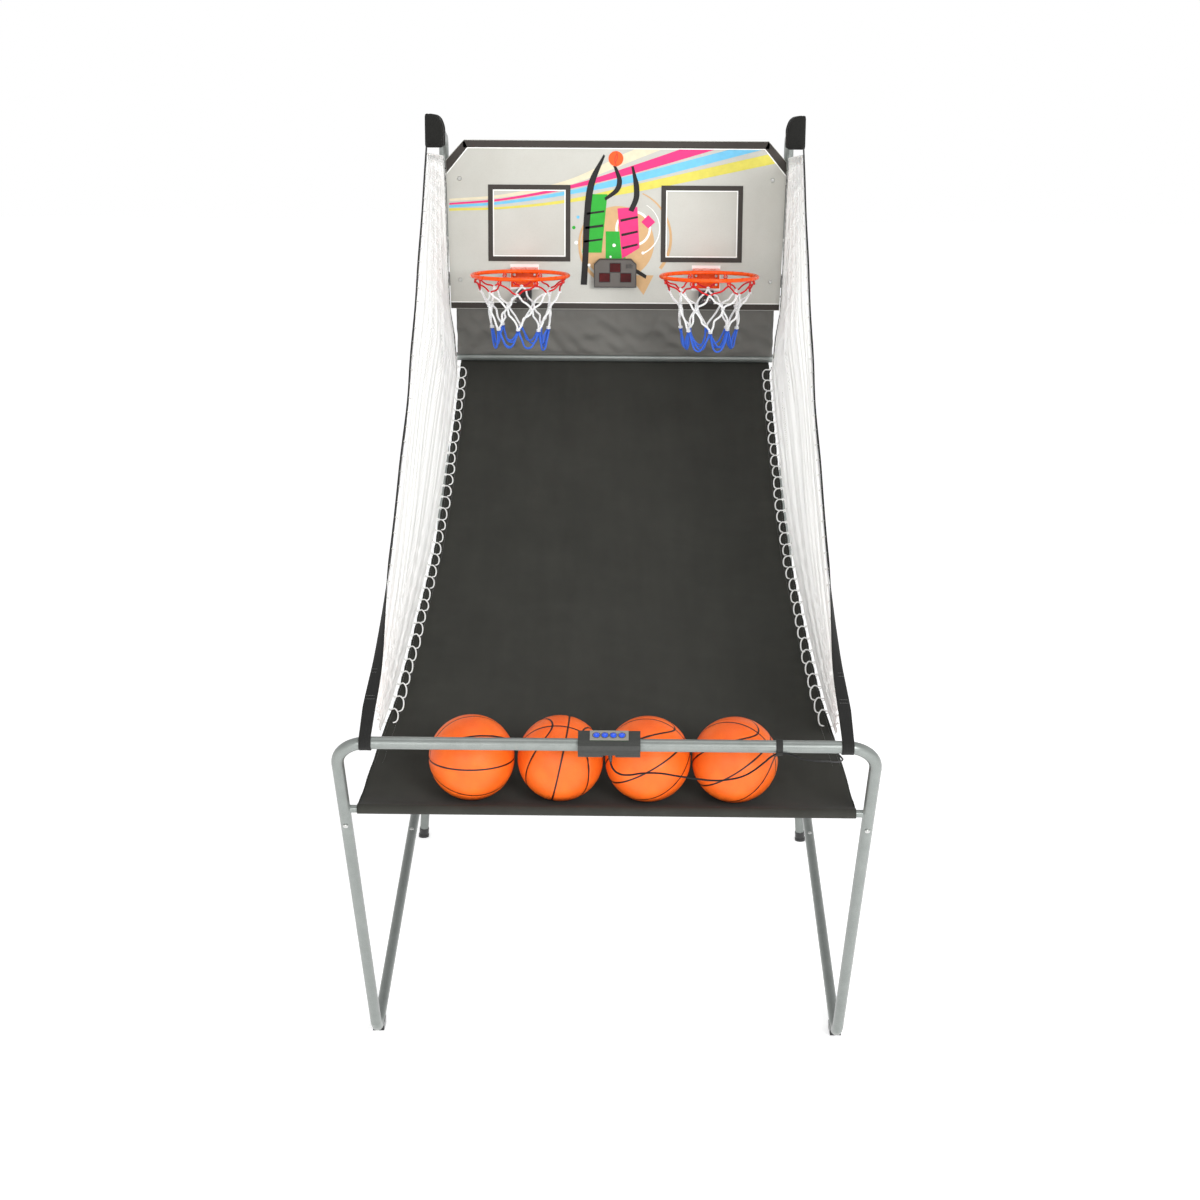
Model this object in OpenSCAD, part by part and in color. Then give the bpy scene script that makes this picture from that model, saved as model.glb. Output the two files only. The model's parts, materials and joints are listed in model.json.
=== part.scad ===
// Two-hoop basketball game on a tube frame. Millimetres, Z up, standing on Z = 0,
// X across, Y from the player (negative) to the backboard (positive).

/* [Frame] */
// Outer diameter of the main tubes
tube_d = 25; // [24:0.5:26]
// Distance between the centre lines of the two front legs
leg_span = 1064; // [1050:2:1080]
// Height of the front bar's centre line
bar_h = 892; // [880:1:904]
// Centre line radius of the front corners
corner_r = 65; // [55:1:75]

/* [Backboard] */
// Thickness of the backboard
board_t = 8; // [6:0.5:9]
// Height of the backboard's top edge
board_top = 2005; // [2000:1:2015]

/* [Hoops] */
// Distance from the middle to each hoop's centre
hoop_x = 241; // [238:1:250]
// Centre line radius of the rims
rim_r = 122.5; // [118:0.5:124]
// Rod diameter of the rims
rim_rod = 10; // [8:0.5:11]

/* [Balls] */
// Diameter of the balls
ball_d = 176; // [168:1:176]

/* [Control] */
// Length of the control unit
ctl_len = 122; // [120:1:140]
// Diameter of the push buttons
btn_d = 12.6; // [11:0.2:13]

/* [Hidden] */
$fn = 48;

silver = [0.66, 0.68, 0.67];
black = [0.08, 0.08, 0.08];
orange = [0.92, 0.36, 0.12];
white = [0.93, 0.93, 0.92];
steel = [0.55, 0.56, 0.56];

tr = tube_d / 2;          // outer radius of the tubes
ti = tr - 1.2;            // inner radius
ts = ti - 0.05;           // outer radius of a swaged end
tb = ts - 1.2;            // bore of a swaged end
hw = leg_span / 2;
y0 = -967.2;              // the front bar lies this far in front of the middle
E = 0.01;

// ---------- vectors and paths ----------
function unit(v) = v / norm(v);
function mirx(p) = [-p[0], p[1], p[2]];
function side_of(s, p) = [s * p[0], p[1], p[2]];
function mix(a, b, t) = a + (b - a) * t;
function bend_cut(p, i, R) = (i == 0 || i == len(p) - 1) ? 0 :
  R * tan(acos(unit(p[i] - p[i - 1]) * unit(p[i + 1] - p[i])) / 2);

// a round bar from p to q
module rod(p, q, r, n = 48) {
  d = q - p;
  l = norm(d);
  translate(p) rotate([0, acos(d[2] / l), atan2(d[1], d[0])]) cylinder(r = r, h = l, $fn = n);
}

// a quarter-like bend that turns from direction a to direction b at corner p
module elbow(p, a, b, R, r) {
  phi = acos(a * b);
  n = unit(b - a * cos(phi));
  s = p - a * R * tan(phi / 2);
  c = s + n * R;
  z = cross(-n, a);
  multmatrix([[-n[0], a[0], z[0], c[0]], [-n[1], a[1], z[1], c[1]], [-n[2], a[2], z[2], c[2]], [0, 0, 0, 1]])
    rotate_extrude(angle = phi, $fn = 96) translate([R, 0]) circle(r = r, $fn = 48);
}

// a solid bar along the corner points p, bent at R, of radius r; a bead 0.12 mm proud covers each joint
function bend_r(R, i) = is_list(R) ? R[i] : R;
module bar_path(p, R, r) {
  n = len(p);
  for (i = [0:n - 2]) {
    d = unit(p[i + 1] - p[i]);
    s = bend_cut(p, i, bend_r(R, i));
    f = bend_cut(p, i + 1, bend_r(R, i + 1));
    rod(p[i] + d * (s + (i > 0 ? 0.4 : 0)), p[i + 1] - d * (f + (i < n - 2 ? 0.4 : 0)), r);
    if (i > 0) rod(p[i] + d * (s - 0.5), p[i] + d * (s + 1), r + 0.12);
    if (i < n - 2) rod(p[i + 1] - d * (f + 1), p[i + 1] - d * (f - 0.5), r + 0.12);
  }
  if (n > 2) for (i = [1:n - 2])
    elbow(p[i], unit(p[i] - p[i - 1]), unit(p[i + 1] - p[i]), bend_r(R, i), r);
}

// a thin soft cord: one skin swept along the points p
function tangent(p, i) = unit(p[min(i + 1, len(p) - 1)] - p[max(i - 1, 0)]);
module cord(p, r, ref = [0, 0, 1], n = 8) {
  pts = [for (i = [0:len(p) - 1]) let (t = tangent(p, i), u = unit(cross(t, ref)), w = cross(u, t))
    for (k = [0:n - 1]) p[i] + r * (cos(360 * k / n) * u + sin(360 * k / n) * w)];
  m = len(p);
  fs = concat(
    [[for (k = [0:n - 1]) k]],
    [[for (k = [n - 1:-1:0]) (m - 1) * n + k]],
    [for (i = [0:m - 2]) for (k = [0:n - 1]) let (a = i * n + k, b = i * n + (k + 1) % n) [b, a, a + n]],
    [for (i = [0:m - 2]) for (k = [0:n - 1]) let (a = i * n + k, b = i * n + (k + 1) % n) [b, a + n, b + n]]);
  polyhedron(points = pts, faces = fs, convexity = 6);
}

// a thin sheet between two equal grids of points, P above and Q below
module sheet(P, Q) {
  m = len(P);
  n = len(P[0]);
  pts = concat([for (r = P) for (v = r) v], [for (r = Q) for (v = r) v]);
  o = m * n;
  fs = concat(
    [for (i = [0:m - 2]) for (j = [0:n - 2]) let (a = i * n + j) [a, a + 1, a + n]],
    [for (i = [0:m - 2]) for (j = [0:n - 2]) let (a = i * n + j) [a + 1, a + n + 1, a + n]],
    [for (i = [0:m - 2]) for (j = [0:n - 2]) let (a = o + i * n + j) [a, a + n, a + 1]],
    [for (i = [0:m - 2]) for (j = [0:n - 2]) let (a = o + i * n + j) [a + 1, a + n, a + n + 1]],
    [for (j = [0:n - 2]) [j, o + j, j + 1]],
    [for (j = [0:n - 2]) [o + j, o + j + 1, j + 1]],
    [for (j = [0:n - 2]) let (a = (m - 1) * n + j) [a, a + 1, o + a]],
    [for (j = [0:n - 2]) let (a = (m - 1) * n + j) [a + 1, o + a + 1, o + a]],
    [for (i = [0:m - 2]) let (a = i * n) [a, a + n, o + a]],
    [for (i = [0:m - 2]) let (a = i * n) [a + n, o + a + n, o + a]],
    [for (i = [0:m - 2]) let (a = i * n + n - 1) [a, o + a, a + n]],
    [for (i = [0:m - 2]) let (a = i * n + n - 1) [a + n, o + a, o + a + n]]);
  polyhedron(points = pts, faces = fs, convexity = 8);
}

// ---------- frame layout ----------
leg_d = unit([0, 590, 6.8 - bar_h]);
run_d = [0, cos(12.7), sin(12.7)];
corner = [hw, y0, bar_h];
vee = [hw, y0 + 590, 6.8];
j1 = 232;                 // leg joint, from the corner point
j2 = 830;                 // runner joint, from the low corner point
foot = [551, y0 + 1940, 0];
knee = [466, y0 + 1800, 1100];
crown = [453.5, y0 + 1758, 2005];
tip = [437, y0 + 1310, 2062];
post_d = unit(knee - foot);
up_d = unit(crown - knee);
arm_d = unit(tip - crown);
j3 = 1020;                // post joint, from the foot
run_end = 1331;           // where the runner stops at its saddle block
ramp_front = [0, y0 + 120, 714];
function at_post(z) = mix(foot, knee, z / knee[2]);
function at_up(z) = mix(knee, crown, (z - knee[2]) / (crown[2] - knee[2]));
ramp_top = [0, at_up(1430)[1], 1430];
ft_r = 8;                 // radius of the front ramp tube
tt_r = 11;                // radius of the top ramp tube

module front_bar() {
  l = side_of(-1, corner);
  a = [l + leg_d * j1, l, corner, corner + leg_d * j1];
  color(silver) difference() {
    union() {
      bar_path(a, corner_r, tr);
      for (s = [-1, 1]) rod(side_of(s, corner) + leg_d * (j1 - E), side_of(s, corner) + leg_d * (j1 + 60), ts);
    }
    bar_path([l + leg_d * (j1 - 10), l, corner, corner + leg_d * (j1 - 10)], corner_r, ti);
    for (s = [-1, 1]) {
      rod(side_of(s, corner) + leg_d * (j1 - 10 - E), side_of(s, corner) + leg_d * (j1 + 61), tb);
      bolt_hole(side_of(s, corner) + leg_d * (j1 + 22), [0, 1, 0], leg_d);
    }
  }
}

// direction square to the tube direction d and nearest to w
function square_to(d, w) = unit(w - d * (w * d));
module bolt_hole(p, w, d, r = 2.6) {
  a = square_to(d, w);
  rod(p - a * 40, p + a * 40, r, 24);
}
// a through bolt with a stepped round head and a hexagonal nut
module bolt(p, w, d, r = 2.5, grip = 12.5) {
  a = square_to(d, w);
  rod(p - a * (grip + 1), p + a * (grip + 7), r, 24);
  rod(p - a * (grip + 2.4), p - a * (grip + 0.05), 5.2, 32);
  rod(p - a * (grip + 3.5), p - a * (grip + 2), 3.4, 32);
  rod(p + a * (grip + 0.05), p + a * (grip + 4.5), 4.6, 6);
}

module front_leg(s) {
  p = [for (v = [corner + leg_d * j1, vee, vee + run_d * j2]) side_of(s, v)];
  q = [for (v = [corner + leg_d * (j1 - 5), vee, vee + run_d * (j2 - 8)]) side_of(s, v)];
  color(silver) difference() {
    union() {
      bar_path(p, 70, tr);
      rod(p[2] - run_d * E, p[2] + run_d * 55, ts);
    }
    bar_path(q, 70, ti);
    rod(q[2] - run_d * E, p[2] + run_d * 56, tb);
    bolt_hole(side_of(s, corner) + leg_d * (j1 + 22), [0, 1, 0], leg_d);
    bolt_hole(p[2] + run_d * 24, [0, 0, 1], run_d);
  }
}
module front_leg_left() { front_leg(-1); }
module front_leg_right() { front_leg(1); }

module rear_runner(s) {
  a = side_of(s, vee + run_d * j2);
  b = side_of(s, vee + run_d * run_end);
  color(silver) difference() {
    rod(a, b, tr);
    rod(a - run_d * 5, b + run_d * 5, ti);
    bolt_hole(a + run_d * 24, [0, 0, 1], run_d);
  }
}
module rear_runner_left() { rear_runner(-1); }
module rear_runner_right() { rear_runner(1); }

run_hit = vee + run_d * 1346;      // the runner's line meets the post's here

module rear_post(s) {
  a = side_of(s, foot + post_d * 14);
  b = side_of(s, foot + post_d * j3);
  d = unit(b - a);
  h = side_of(s, run_hit);
  color(silver) difference() {
    union() {
      rod(a, b, tr);
      rod(b - d * E, b + d * 58, ts);
    }
    rod(a - d * 5, b - d * 8, ti);
    rod(b - d * (8 + E), b + d * 60, tb);
    bolt_hole(b + d * 24, [1, 0, 0], d);
    rod(h - run_d * 60, h + run_d * 60, 3.1, 24);
    rod(side_of(s, at_post(360)) - [40, 0, 0], side_of(s, at_post(360)) + [40, 0, 0], 3.1, 24);
  }
}
module rear_post_left() { rear_post(-1); }
module rear_post_right() { rear_post(1); }

module upright(s) {
  j = side_of(s, foot + post_d * j3);
  p = [for (v = [foot + post_d * j3, knee]) side_of(s, v)];
  q = [for (v = [crown, tip]) side_of(s, v)];
  jd = unit(p[1] - p[0]);
  ud = unit(q[0] - p[1]);
  ad = unit(q[1] - q[0]);
  color(silver) difference() {
    bar_path([p[0], p[1], q[0], q[1]], [0, 150, 60, 0], tr);
    bar_path([p[0] - jd * 5, p[1], q[0], q[1] + ad * 5], [0, 150, 60, 0], ti);
    bolt_hole(j + jd * 24, [1, 0, 0], jd);
    rod(side_of(s, at_up(1430)) - [40, 0, 0], side_of(s, at_up(1430)) + [40, 0, 0], 3.1, 24);
    for (z = [1640, 1905]) bolt_hole(side_of(s, at_up(z)), [0, 1, 0], ud, 2.7);
  }
}
module upright_left() { upright(-1); }
module upright_right() { upright(1); }

module ramp_front_tube() {
  color(silver) difference() {
    rod([-hw, ramp_front[1], ramp_front[2]], [hw, ramp_front[1], ramp_front[2]], ft_r);
    rod([-hw - 5, ramp_front[1], ramp_front[2]], [hw + 5, ramp_front[1], ramp_front[2]], ft_r - 1.2);
    for (s = [-1, 1]) rod(side_of(s, corner), side_of(s, corner + leg_d * 400), tr);
  }
}
module ramp_top_tube() {
  x = at_up(1430)[0];
  color(silver) difference() {
    rod([-x, ramp_top[1], ramp_top[2]], [x, ramp_top[1], ramp_top[2]], tt_r);
    rod([-x - 5, ramp_top[1], ramp_top[2]], [x + 5, ramp_top[1], ramp_top[2]], tt_r - 1.2);
    for (s = [-1, 1]) rod(side_of(s, at_up(1200)), side_of(s, at_up(1700)), tr);
  }
}
module rear_cross_tube() {
  p = at_post(360);
  color(silver) difference() {
    rod(mirx(p), p, tt_r);
    rod(mirx(p) - [5, 0, 0], p + [5, 0, 0], tt_r - 1.2);
    for (s = [-1, 1]) rod(side_of(s, at_post(100)), side_of(s, at_post(600)), tr);
  }
}

module frame_bolts() {
  color(steel) for (s = [-1, 1]) {
    bolt(side_of(s, corner + leg_d * (j1 + 22)), [0, 1, 0], leg_d, grip = tr);
    bolt(side_of(s, vee + run_d * (j2 + 24)), [0, 0, -1], run_d, grip = tr);
    bolt(side_of(s, foot + post_d * (j3 + 24)), [-s, 0, 0], side_of(s, post_d), grip = tr);
    // post to runner, along the runner
    h = side_of(s, run_hit);
    rod(h - run_d * 40, h + run_d * 19.4, 3, 24);
    rod(h + run_d * 14.6, h + run_d * 18.2, 5.4, 6);
    // cross tubes, through the posts into the end plugs
    for (c = [[at_post(360), tt_r], [at_up(1430), tt_r]]) {
      p = side_of(s, c[0]);
      rod(p - [s * 36, 0, 0], p + [s * 18.6, 0, 0], 3, 24);
      rod(p + [s * 13.4, 0, 0], p + [s * 17.4, 0, 0], 5.4, 6);
    }
  }
}

module tube_plugs() {
  color(black) for (s = [-1, 1]) {
    // saddle blocks between the runners and the posts
    h = side_of(s, run_hit);
    e = side_of(s, vee + run_d * run_end);
    difference() {
      union() {
        rod(e, h, tr + 2.5);
        rod(e - run_d * 30, e + run_d * E, ti);
      }
      rod(side_of(s, at_post(200)), side_of(s, at_post(420)), tr);
      rod(h - run_d * 60, h + run_d * 40, 3, 24);
    }
    // plugs in the ends of the two cross tubes
    for (c = [at_post(360), at_up(1430)]) {
      p = side_of(s, c);
      difference() {
        rod(p - [s * 38, 0, 0], p, tt_r - 1.2);
        rod(p - [s * 39, 0, 0], p + [s * 5, 0, 0], 3, 24);
        rod(p - side_of(s, c[2] < 1000 ? post_d : up_d) * 120, p + side_of(s, c[2] < 1000 ? post_d : up_d) * 120, tr);
      }
    }
    // plug in the open end of each arm
    t = side_of(s, tip);
    a = unit(t - side_of(s, crown));
    rod(t - a * 18, t + a * E, ti);
    rod(t, t + a * 3, tr);
  }
}

module foot_caps() {
  color(black) for (s = [-1, 1]) {
    p = side_of(s, foot);
    d = side_of(s, post_d);
    difference() {
      intersection() {
        union() {
          rod(p - d * 20, p + d * 29, tr + 1.5);
          rod(p - d * 20, p + d * 9, tr + 2.9);
        }
        translate([p[0] - 40, p[1] - 40, 0]) cube([80, 80, 60]);
      }
      rod(p + d * 14, p + d * 60, tr);
    }
  }
}

module floor_glides() {
  color(black) for (s = [-1, 1]) {
    c = side_of(s, [hw, vee[1] + 30.6, 15.5]);
    difference() {
      translate([c[0] - 13.2, c[1] - 10, 0]) cube([26.4, 46, 22]);
      bar_path([for (v = [corner + leg_d * 900, vee, vee + run_d * 300]) side_of(s, v)], 70, tr);
      translate([c[0] - 20, c[1] - 40, 19]) cube([40, 90, 20]);
    }
  }
}

// ---------- backboard and its fixings ----------
bf = y0 + 1735;           // front face of the board
bb = bf + board_t;        // back face
board_bot = board_top - 441;
module board_outline() {
  polygon([[-437.5, 0], [437.5, 0], [448.2, 388], [400, 441], [-400, 441], [-448.2, 388]]);
}
module backboard() {
  color([0.82, 0.82, 0.78]) difference() {
    translate([0, bb, board_bot]) rotate([90, 0, 0]) linear_extrude(board_t) board_outline();
    for (s = [-1, 1]) {
      for (z = [1640, 1905]) translate([s * 412, bf - 1, z]) rotate([-90, 0, 0]) cylinder(r = 2.7, h = board_t + 2, $fn = 24);
      for (x = [-27, 27]) for (z = [1632, 1655]) translate([s * hoop_x + x, bf - 1, z]) rotate([-90, 0, 0]) cylinder(r = 2.7, h = board_t + 2, $fn = 24);
    }
    translate([-30, bf - 1, 1632]) cube([60, board_t + 2, 50]);
    for (x = [-42, 42]) translate([x, bf - 1, 1636]) rotate([-90, 0, 0]) cylinder(r = 2.1, h = board_t + 2, $fn = 24);
  }
}
module board_clamps() {
  color(black) for (s = [-1, 1]) for (z = [1640, 1905]) {
    p = side_of(s, at_up(z));
    d = side_of(s, up_d);
    x = p[0] * s;
    difference() {
      translate([0, 0, z - 16]) linear_extrude(32)
        polygon([for (q = [[398, bb], [x + 20, bb], [x + 20, p[1] + 17], [x - 20, p[1] + 17], [x - 20, bb + 14], [398, bb + 14]]) [s * q[0], q[1]]]);
      rod(p - d * 60, p + d * 60, tr);
      translate([s * 412, bb - 5, z]) rotate([-90, 0, 0]) cylinder(r = 2.6, h = 40, $fn = 24);
      rod(p - square_to(d, [0, 1, 0]) * 60, p + square_to(d, [0, 1, 0]) * 60, 2.6, 24);
    }
  }
}
module board_bolts() {
  color(steel) for (s = [-1, 1]) {
    for (z = [1640, 1905]) {
      p = side_of(s, at_up(z));
      d = side_of(s, up_d);
      a = square_to(d, [0, 1, 0]);
      translate([s * 412, bf - 2.4, z]) rotate([-90, 0, 0]) cylinder(r1 = 4, r2 = 6, h = 2.4, $fn = 32);
      translate([s * 412, bf - E, z]) rotate([-90, 0, 0]) cylinder(r = 2.5, h = board_t + 22, $fn = 24);
      translate([s * 412, bb + 14.05, z]) rotate([-90, 0, 0]) cylinder(r = 4.6, h = 4.5, $fn = 6);
      rod(p - a * 17, p + a * 24, 2.5, 24);
      rod(p + a * 18, p + a * 22, 4.6, 6);
    }
    for (x = [-27, 27]) for (z = [1632, 1655]) translate([s * hoop_x + x, 0, z]) {
      translate([0, bf - 7.4, 0]) rotate([-90, 0, 0]) cylinder(r1 = 2.8, r2 = 3.8, h = 2.4, $fn = 32);
      translate([0, bf - 5, 0]) rotate([-90, 0, 0]) cylinder(r = 2.5, h = board_t + 12, $fn = 24);
      translate([0, bb, 0]) rotate([-90, 0, 0]) cylinder(r = 4.6, h = 4.5, $fn = 6);
    }
  }
}

// ---------- hoops ----------
rim_c = [hoop_x, y0 + 1500, 1673];
module ring(r) { rotate_extrude($fn = 96) translate([rim_r, 0]) circle(r = r, $fn = 32); }
module rim(s) {
  color(orange) translate(side_of(s, rim_c)) {
    ring(rim_rod / 2);
    for (k = [0:7]) rotate([0, 0, 22.5 + 45 * k]) translate([rim_r, 0, -rim_rod / 2 + 1])
      rotate([0, 90, 90]) rotate_extrude(angle = 180, $fn = 24) translate([6, 0]) circle(r = 1.5, $fn = 12);
  }
}
module rim_left() { rim(-1); }
module rim_right() { rim(1); }
module rim_bracket(s) {
  c = side_of(s, rim_c);
  ye = bf - 2;
  color(orange) difference() {
    union() {
      // top plate, narrowing from the board to the rim
      translate([c[0], 0, c[2] - 1.5]) linear_extrude(3)
        polygon([[-36, ye], [-36, ye - 40], [-27, c[1] + 95], [27, c[1] + 95], [36, ye - 40], [36, ye]]);
      translate([c[0] - 36, ye - 3, 1622]) cube([72, 3, c[2] - 1622]);
      for (x = [-34, 31]) translate([c[0] + x, 0, 0]) rotate([90, 0, 90]) linear_extrude(3)
        polygon([[ye, 1624], [ye, c[2]], [ye - 42, c[2]], [ye - 6, 1624]]);
    }
    translate(c) ring(rim_rod / 2);
    translate([c[0], c[1], c[2] - 20]) cylinder(r = rim_r, h = 40, $fn = 96);
    for (x = [-27, 27]) for (z = [1632, 1655]) translate([c[0] + x, ye - 5, z]) rotate([-90, 0, 0]) cylinder(r = 2.6, h = 10, $fn = 24);
  }
}
module rim_bracket_left() { rim_bracket(-1); }
module rim_bracket_right() { rim_bracket(1); }
module rim_plates() {
  color(white) for (s = [-1, 1]) difference() {
    translate([s * hoop_x - 38, bf - 2, 1616]) cube([76, 2, 66]);
    for (x = [-27, 27]) for (z = [1632, 1655]) translate([s * hoop_x + x, bf - 3, z]) rotate([-90, 0, 0]) cylinder(r = 2.6, h = 4, $fn = 24);
  }
}

// ---------- ball sensors under the hoops ----------
piv = [hoop_x, y0 + 1614, 1602];
module sensor_box(s) {
  c = side_of(s, piv);
  yb = y0 + 1697;
  color(black) difference() {
    union() {
      translate([c[0] - 20, yb, 1584]) cube([40, bf - 2 - yb, 34]);
      for (x = [-12, 9]) translate([c[0] + x, c[1], 1596]) cube([3, yb - c[1] + 1, 12]);
      for (x = [-12, 9]) translate([c[0] + x, c[1], c[2]]) rotate([0, 90, 0]) cylinder(r = 6, h = 3, $fn = 32);
    }
    translate([c[0] - 16, yb - 1, 1588]) cube([32, 3, 26]);
    translate([c[0] - 13, c[1], c[2]]) rotate([0, 90, 0]) cylinder(r = 2, h = 26, $fn = 24);
  }
}
module sensor_box_left() { sensor_box(-1); }
module sensor_box_right() { sensor_box(1); }
module sensor_lever(s) {
  c = side_of(s, piv);
  color([0.12, 0.12, 0.12]) difference() {
    union() {
      translate([c[0] - 4, c[1], c[2]]) rotate([0, 90, 0]) cylinder(r = 4.5, h = 8, $fn = 32);
      translate([c[0] - 3.5, c[1] - 56, c[2] - 2]) cube([7, 54, 4]);
      translate([c[0] - 17, c[1] - 60, c[2] - 2]) cube([34, 12, 4]);
    }
    translate([c[0] - 5, c[1], c[2]]) rotate([0, 90, 0]) cylinder(r = 2.04, h = 10, $fn = 24);
  }
}
module sensor_lever_left() { sensor_lever(-1); }
module sensor_lever_right() { sensor_lever(1); }
module sensor_pins() {
  color(steel) for (s = [-1, 1]) {
    c = side_of(s, piv);
    translate([c[0] - 12.5, c[1], c[2]]) rotate([0, 90, 0]) cylinder(r = 1.99, h = 25, $fn = 24);
    // return spring: coils round the pin
    for (k = [0:1]) translate([c[0] + 5.6 + 1.9 * k, c[1], c[2]]) rotate([0, 90, 0])
      rotate_extrude($fn = 32) translate([3.1, 0]) circle(r = 0.7, $fn = 12);
  }
}

// ---------- cord nets under the hoops ----------
net_prof = [[0, 114], [24, 108], [48, 101], [74, 95], [102, 89], [130, 84], [158, 80], [186, 77]];
module hoop_net(s) {
  c = side_of(s, rim_c);
  color(white) for (k = [0:7]) for (h = [-1, 1])
    cord([for (i = [0:7]) let (r = net_prof[i][1] + 2.3 * h, a = 22.5 + 45 * k + h * 22.5 * i)
      [c[0] + r * cos(a), c[1] + r * sin(a), 1656 - net_prof[i][0]]], 1.9);
}
module hoop_net_left() { hoop_net(-1); }
module hoop_net_right() { hoop_net(1); }

// ---------- score unit ----------
sz = 1625;                // underside of the score unit
module score_outline(w, h, c) {
  polygon([[-w / 2, 0], [w / 2, 0], [w / 2, h - c], [w / 2 - c, h], [-w / 2 + c, h], [-w / 2, h - c]]);
}
lens_at = [[0, 52], [-28, 26], [28, 26]];
module score_front() {
  color([0.7, 0.7, 0.68]) difference() {
    translate([0, bf, sz]) rotate([90, 0, 0]) linear_extrude(30) score_outline(112, 74, 14);
    translate([0, bf + 1, sz + 2.5]) rotate([90, 0, 0]) linear_extrude(28.5) score_outline(107, 69, 12);
    for (l = lens_at) translate([l[0] - 14, bf - 31, sz + l[1] - 11.5]) cube([28, 5, 23]);
    for (x = [-42, 42]) translate([x, bf - 8, 1636]) rotate([-90, 0, 0]) cylinder(r = 1, h = 1, $fn = 12);
    for (i = [0:4]) translate([36 + 3.6 * i - 7, bf - 31, sz + 50]) cube([1.6, 5, 12]);
  }
}
module score_back() {
  color(black) difference() {
    union() {
      translate([-55, bb, 1622]) cube([110, 34, 72]);
    }
    translate([-52.5, bb - 1, 1624.5]) cube([105, 22, 67]);
    // battery bay, and the window that shows the door
    translate([-38, bb + 16, 1634]) cube([76, 30, 40]);
    translate([-38, bb + 31, 1634]) cube([76, 30, 66]);
    // guides for the door
    translate([-42, bb + 30, 1630]) cube([84, 2.4, 66]);
  }
}
module score_lens() {
  color([0.35, 0.03, 0.03]) for (l = lens_at)
    translate([l[0] - 13.9, bf - 29.8, sz + l[1] - 11.4]) cube([27.8, 2.2, 22.8]);
}
module score_board() {
  color([0.05, 0.3, 0.12]) {
    difference() {
      translate([-50, bf - 14, sz + 5]) cube([100, 1.6, 52]);
      translate([26, bf - 15, sz + 45]) cube([30, 5, 20]);
    }
    for (l = lens_at) translate([l[0] - 13, bf - 26, sz + l[1] - 11]) cube([26, 12, 21]);
  }
}
module speaker() {
  color(steel) {
    translate([36, bf - 27.4, sz + 56]) rotate([-90, 0, 0]) cylinder(r = 9.5, h = 5, $fn = 40);
    translate([36, bf - 22.4, sz + 56]) rotate([-90, 0, 0]) cylinder(r = 5.5, h = 6, $fn = 40);
  }
}
module batteries() {
  color([0.25, 0.35, 0.3]) for (i = [0:2]) {
    translate([-25.2, bb + 23, 1641.5 + 12.6 * i]) rotate([0, 90, 0]) cylinder(r = 6.2, h = 49, $fn = 36);
    translate([23.8, bb + 23, 1641.5 + 12.6 * i]) rotate([0, 90, 0]) cylinder(r = 2.6, h = 1.4, $fn = 24);
  }
}
module battery_door() {
  color([0.1, 0.1, 0.1]) {
    translate([-41.7, bb + 30.2, 1630.2]) cube([83.4, 2, 63.8]);
    for (i = [0:3]) translate([-8, bb + 32.2 - E, 1640 + 3.4 * i]) cube([16, 1.4, 1.6]);
  }
}

// ---------- control unit on the front bar ----------
cx0 = 6;                  // middle of the control unit
pan_a = atan2(26 - 13.6, 9 + 14);   // slope of the panel seat
module on_panel() {
  translate([cx0, y0 - 14, bar_h + 13.6]) rotate([pan_a, 0, 0]) children();
}
module ctl_body() {
  translate([cx0 - ctl_len / 2, y0, bar_h]) rotate([90, 0, 90]) linear_extrude(ctl_len)
    polygon([[-21, 4], [-22.6, -4], [-21.2, -11], [-17, -17.5], [-10, -22], [0, -23],
      [12, -22], [19, -18.4], [22.6, -12], [23, 0], [22, 16], [15, 24.5], [9, 26], [-14, 13.6]]);
}
module ctl_room() {
  rod([cx0 - 100, y0, bar_h], [cx0 + 100, y0, bar_h], tr);
}
module control_front() {
  color([0.25, 0.26, 0.26]) difference() {
    intersection() {
      ctl_body();
      translate([cx0 - 100, y0 - 60, bar_h - 60]) cube([200, 60, 120]);
    }
    ctl_room();
    on_panel() translate([-38, -1, -5]) cube([76, 28, 10]);
    translate([cx0 - 12, y0 - 30, bar_h - 30]) cube([24, 31, 14]);
  }
}
module control_back() {
  color([0.12, 0.12, 0.12]) difference() {
    intersection() {
      ctl_body();
      translate([cx0 - 100, y0, bar_h - 60]) cube([200, 60, 120]);
    }
    ctl_room();
    on_panel() translate([-38, -1, -5]) cube([76, 28, 10]);
    translate([cx0 - 12, y0 - 1, bar_h - 30]) cube([24, 12, 14]);
    translate([cx0 + 44, y0 + 18, bar_h - 5]) cube([12, 10, 8]);
  }
}
btn_x = [-25, -8.4, 8.2, 24.8];
module control_panel() {
  color([0.62, 0.63, 0.6]) on_panel() difference() {
    translate([-37.9, 0, 0]) cube([75.8, 25, 2.2]);
    for (x = btn_x) translate([x, 12, -1]) cylinder(r = btn_d / 2 + 0.05, h = 5, $fn = 48);
  }
}
module control_board() {
  color([0.05, 0.3, 0.12]) on_panel() translate([-37, 1.5, -4.9]) cube([74, 22, 1.5]);
}
module button(i) {
  color([0.1, 0.25, 0.85]) on_panel() translate([btn_x[i], 12, -0.9]) {
    cylinder(r = btn_d / 2, h = 4.4, $fn = 48);
    translate([0, 0, 4.4]) intersection() {
      translate([0, 0, -9]) sphere(r = 11, $fn = 64);
      cylinder(r = btn_d / 2, h = 6, $fn = 48);
    }
  }
}
module button_1() { button(0); }
module button_2() { button(1); }
module button_3() { button(2); }
module button_4() { button(3); }
module power_switch() {
  color([0.75, 0.1, 0.08]) translate([cx0 + 45, y0 + 19.5, bar_h - 4.9]) {
    cube([6, 3, 7.8]);
    translate([1, 3, 1.5]) cube([4, 3, 4.8]);
  }
}

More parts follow.
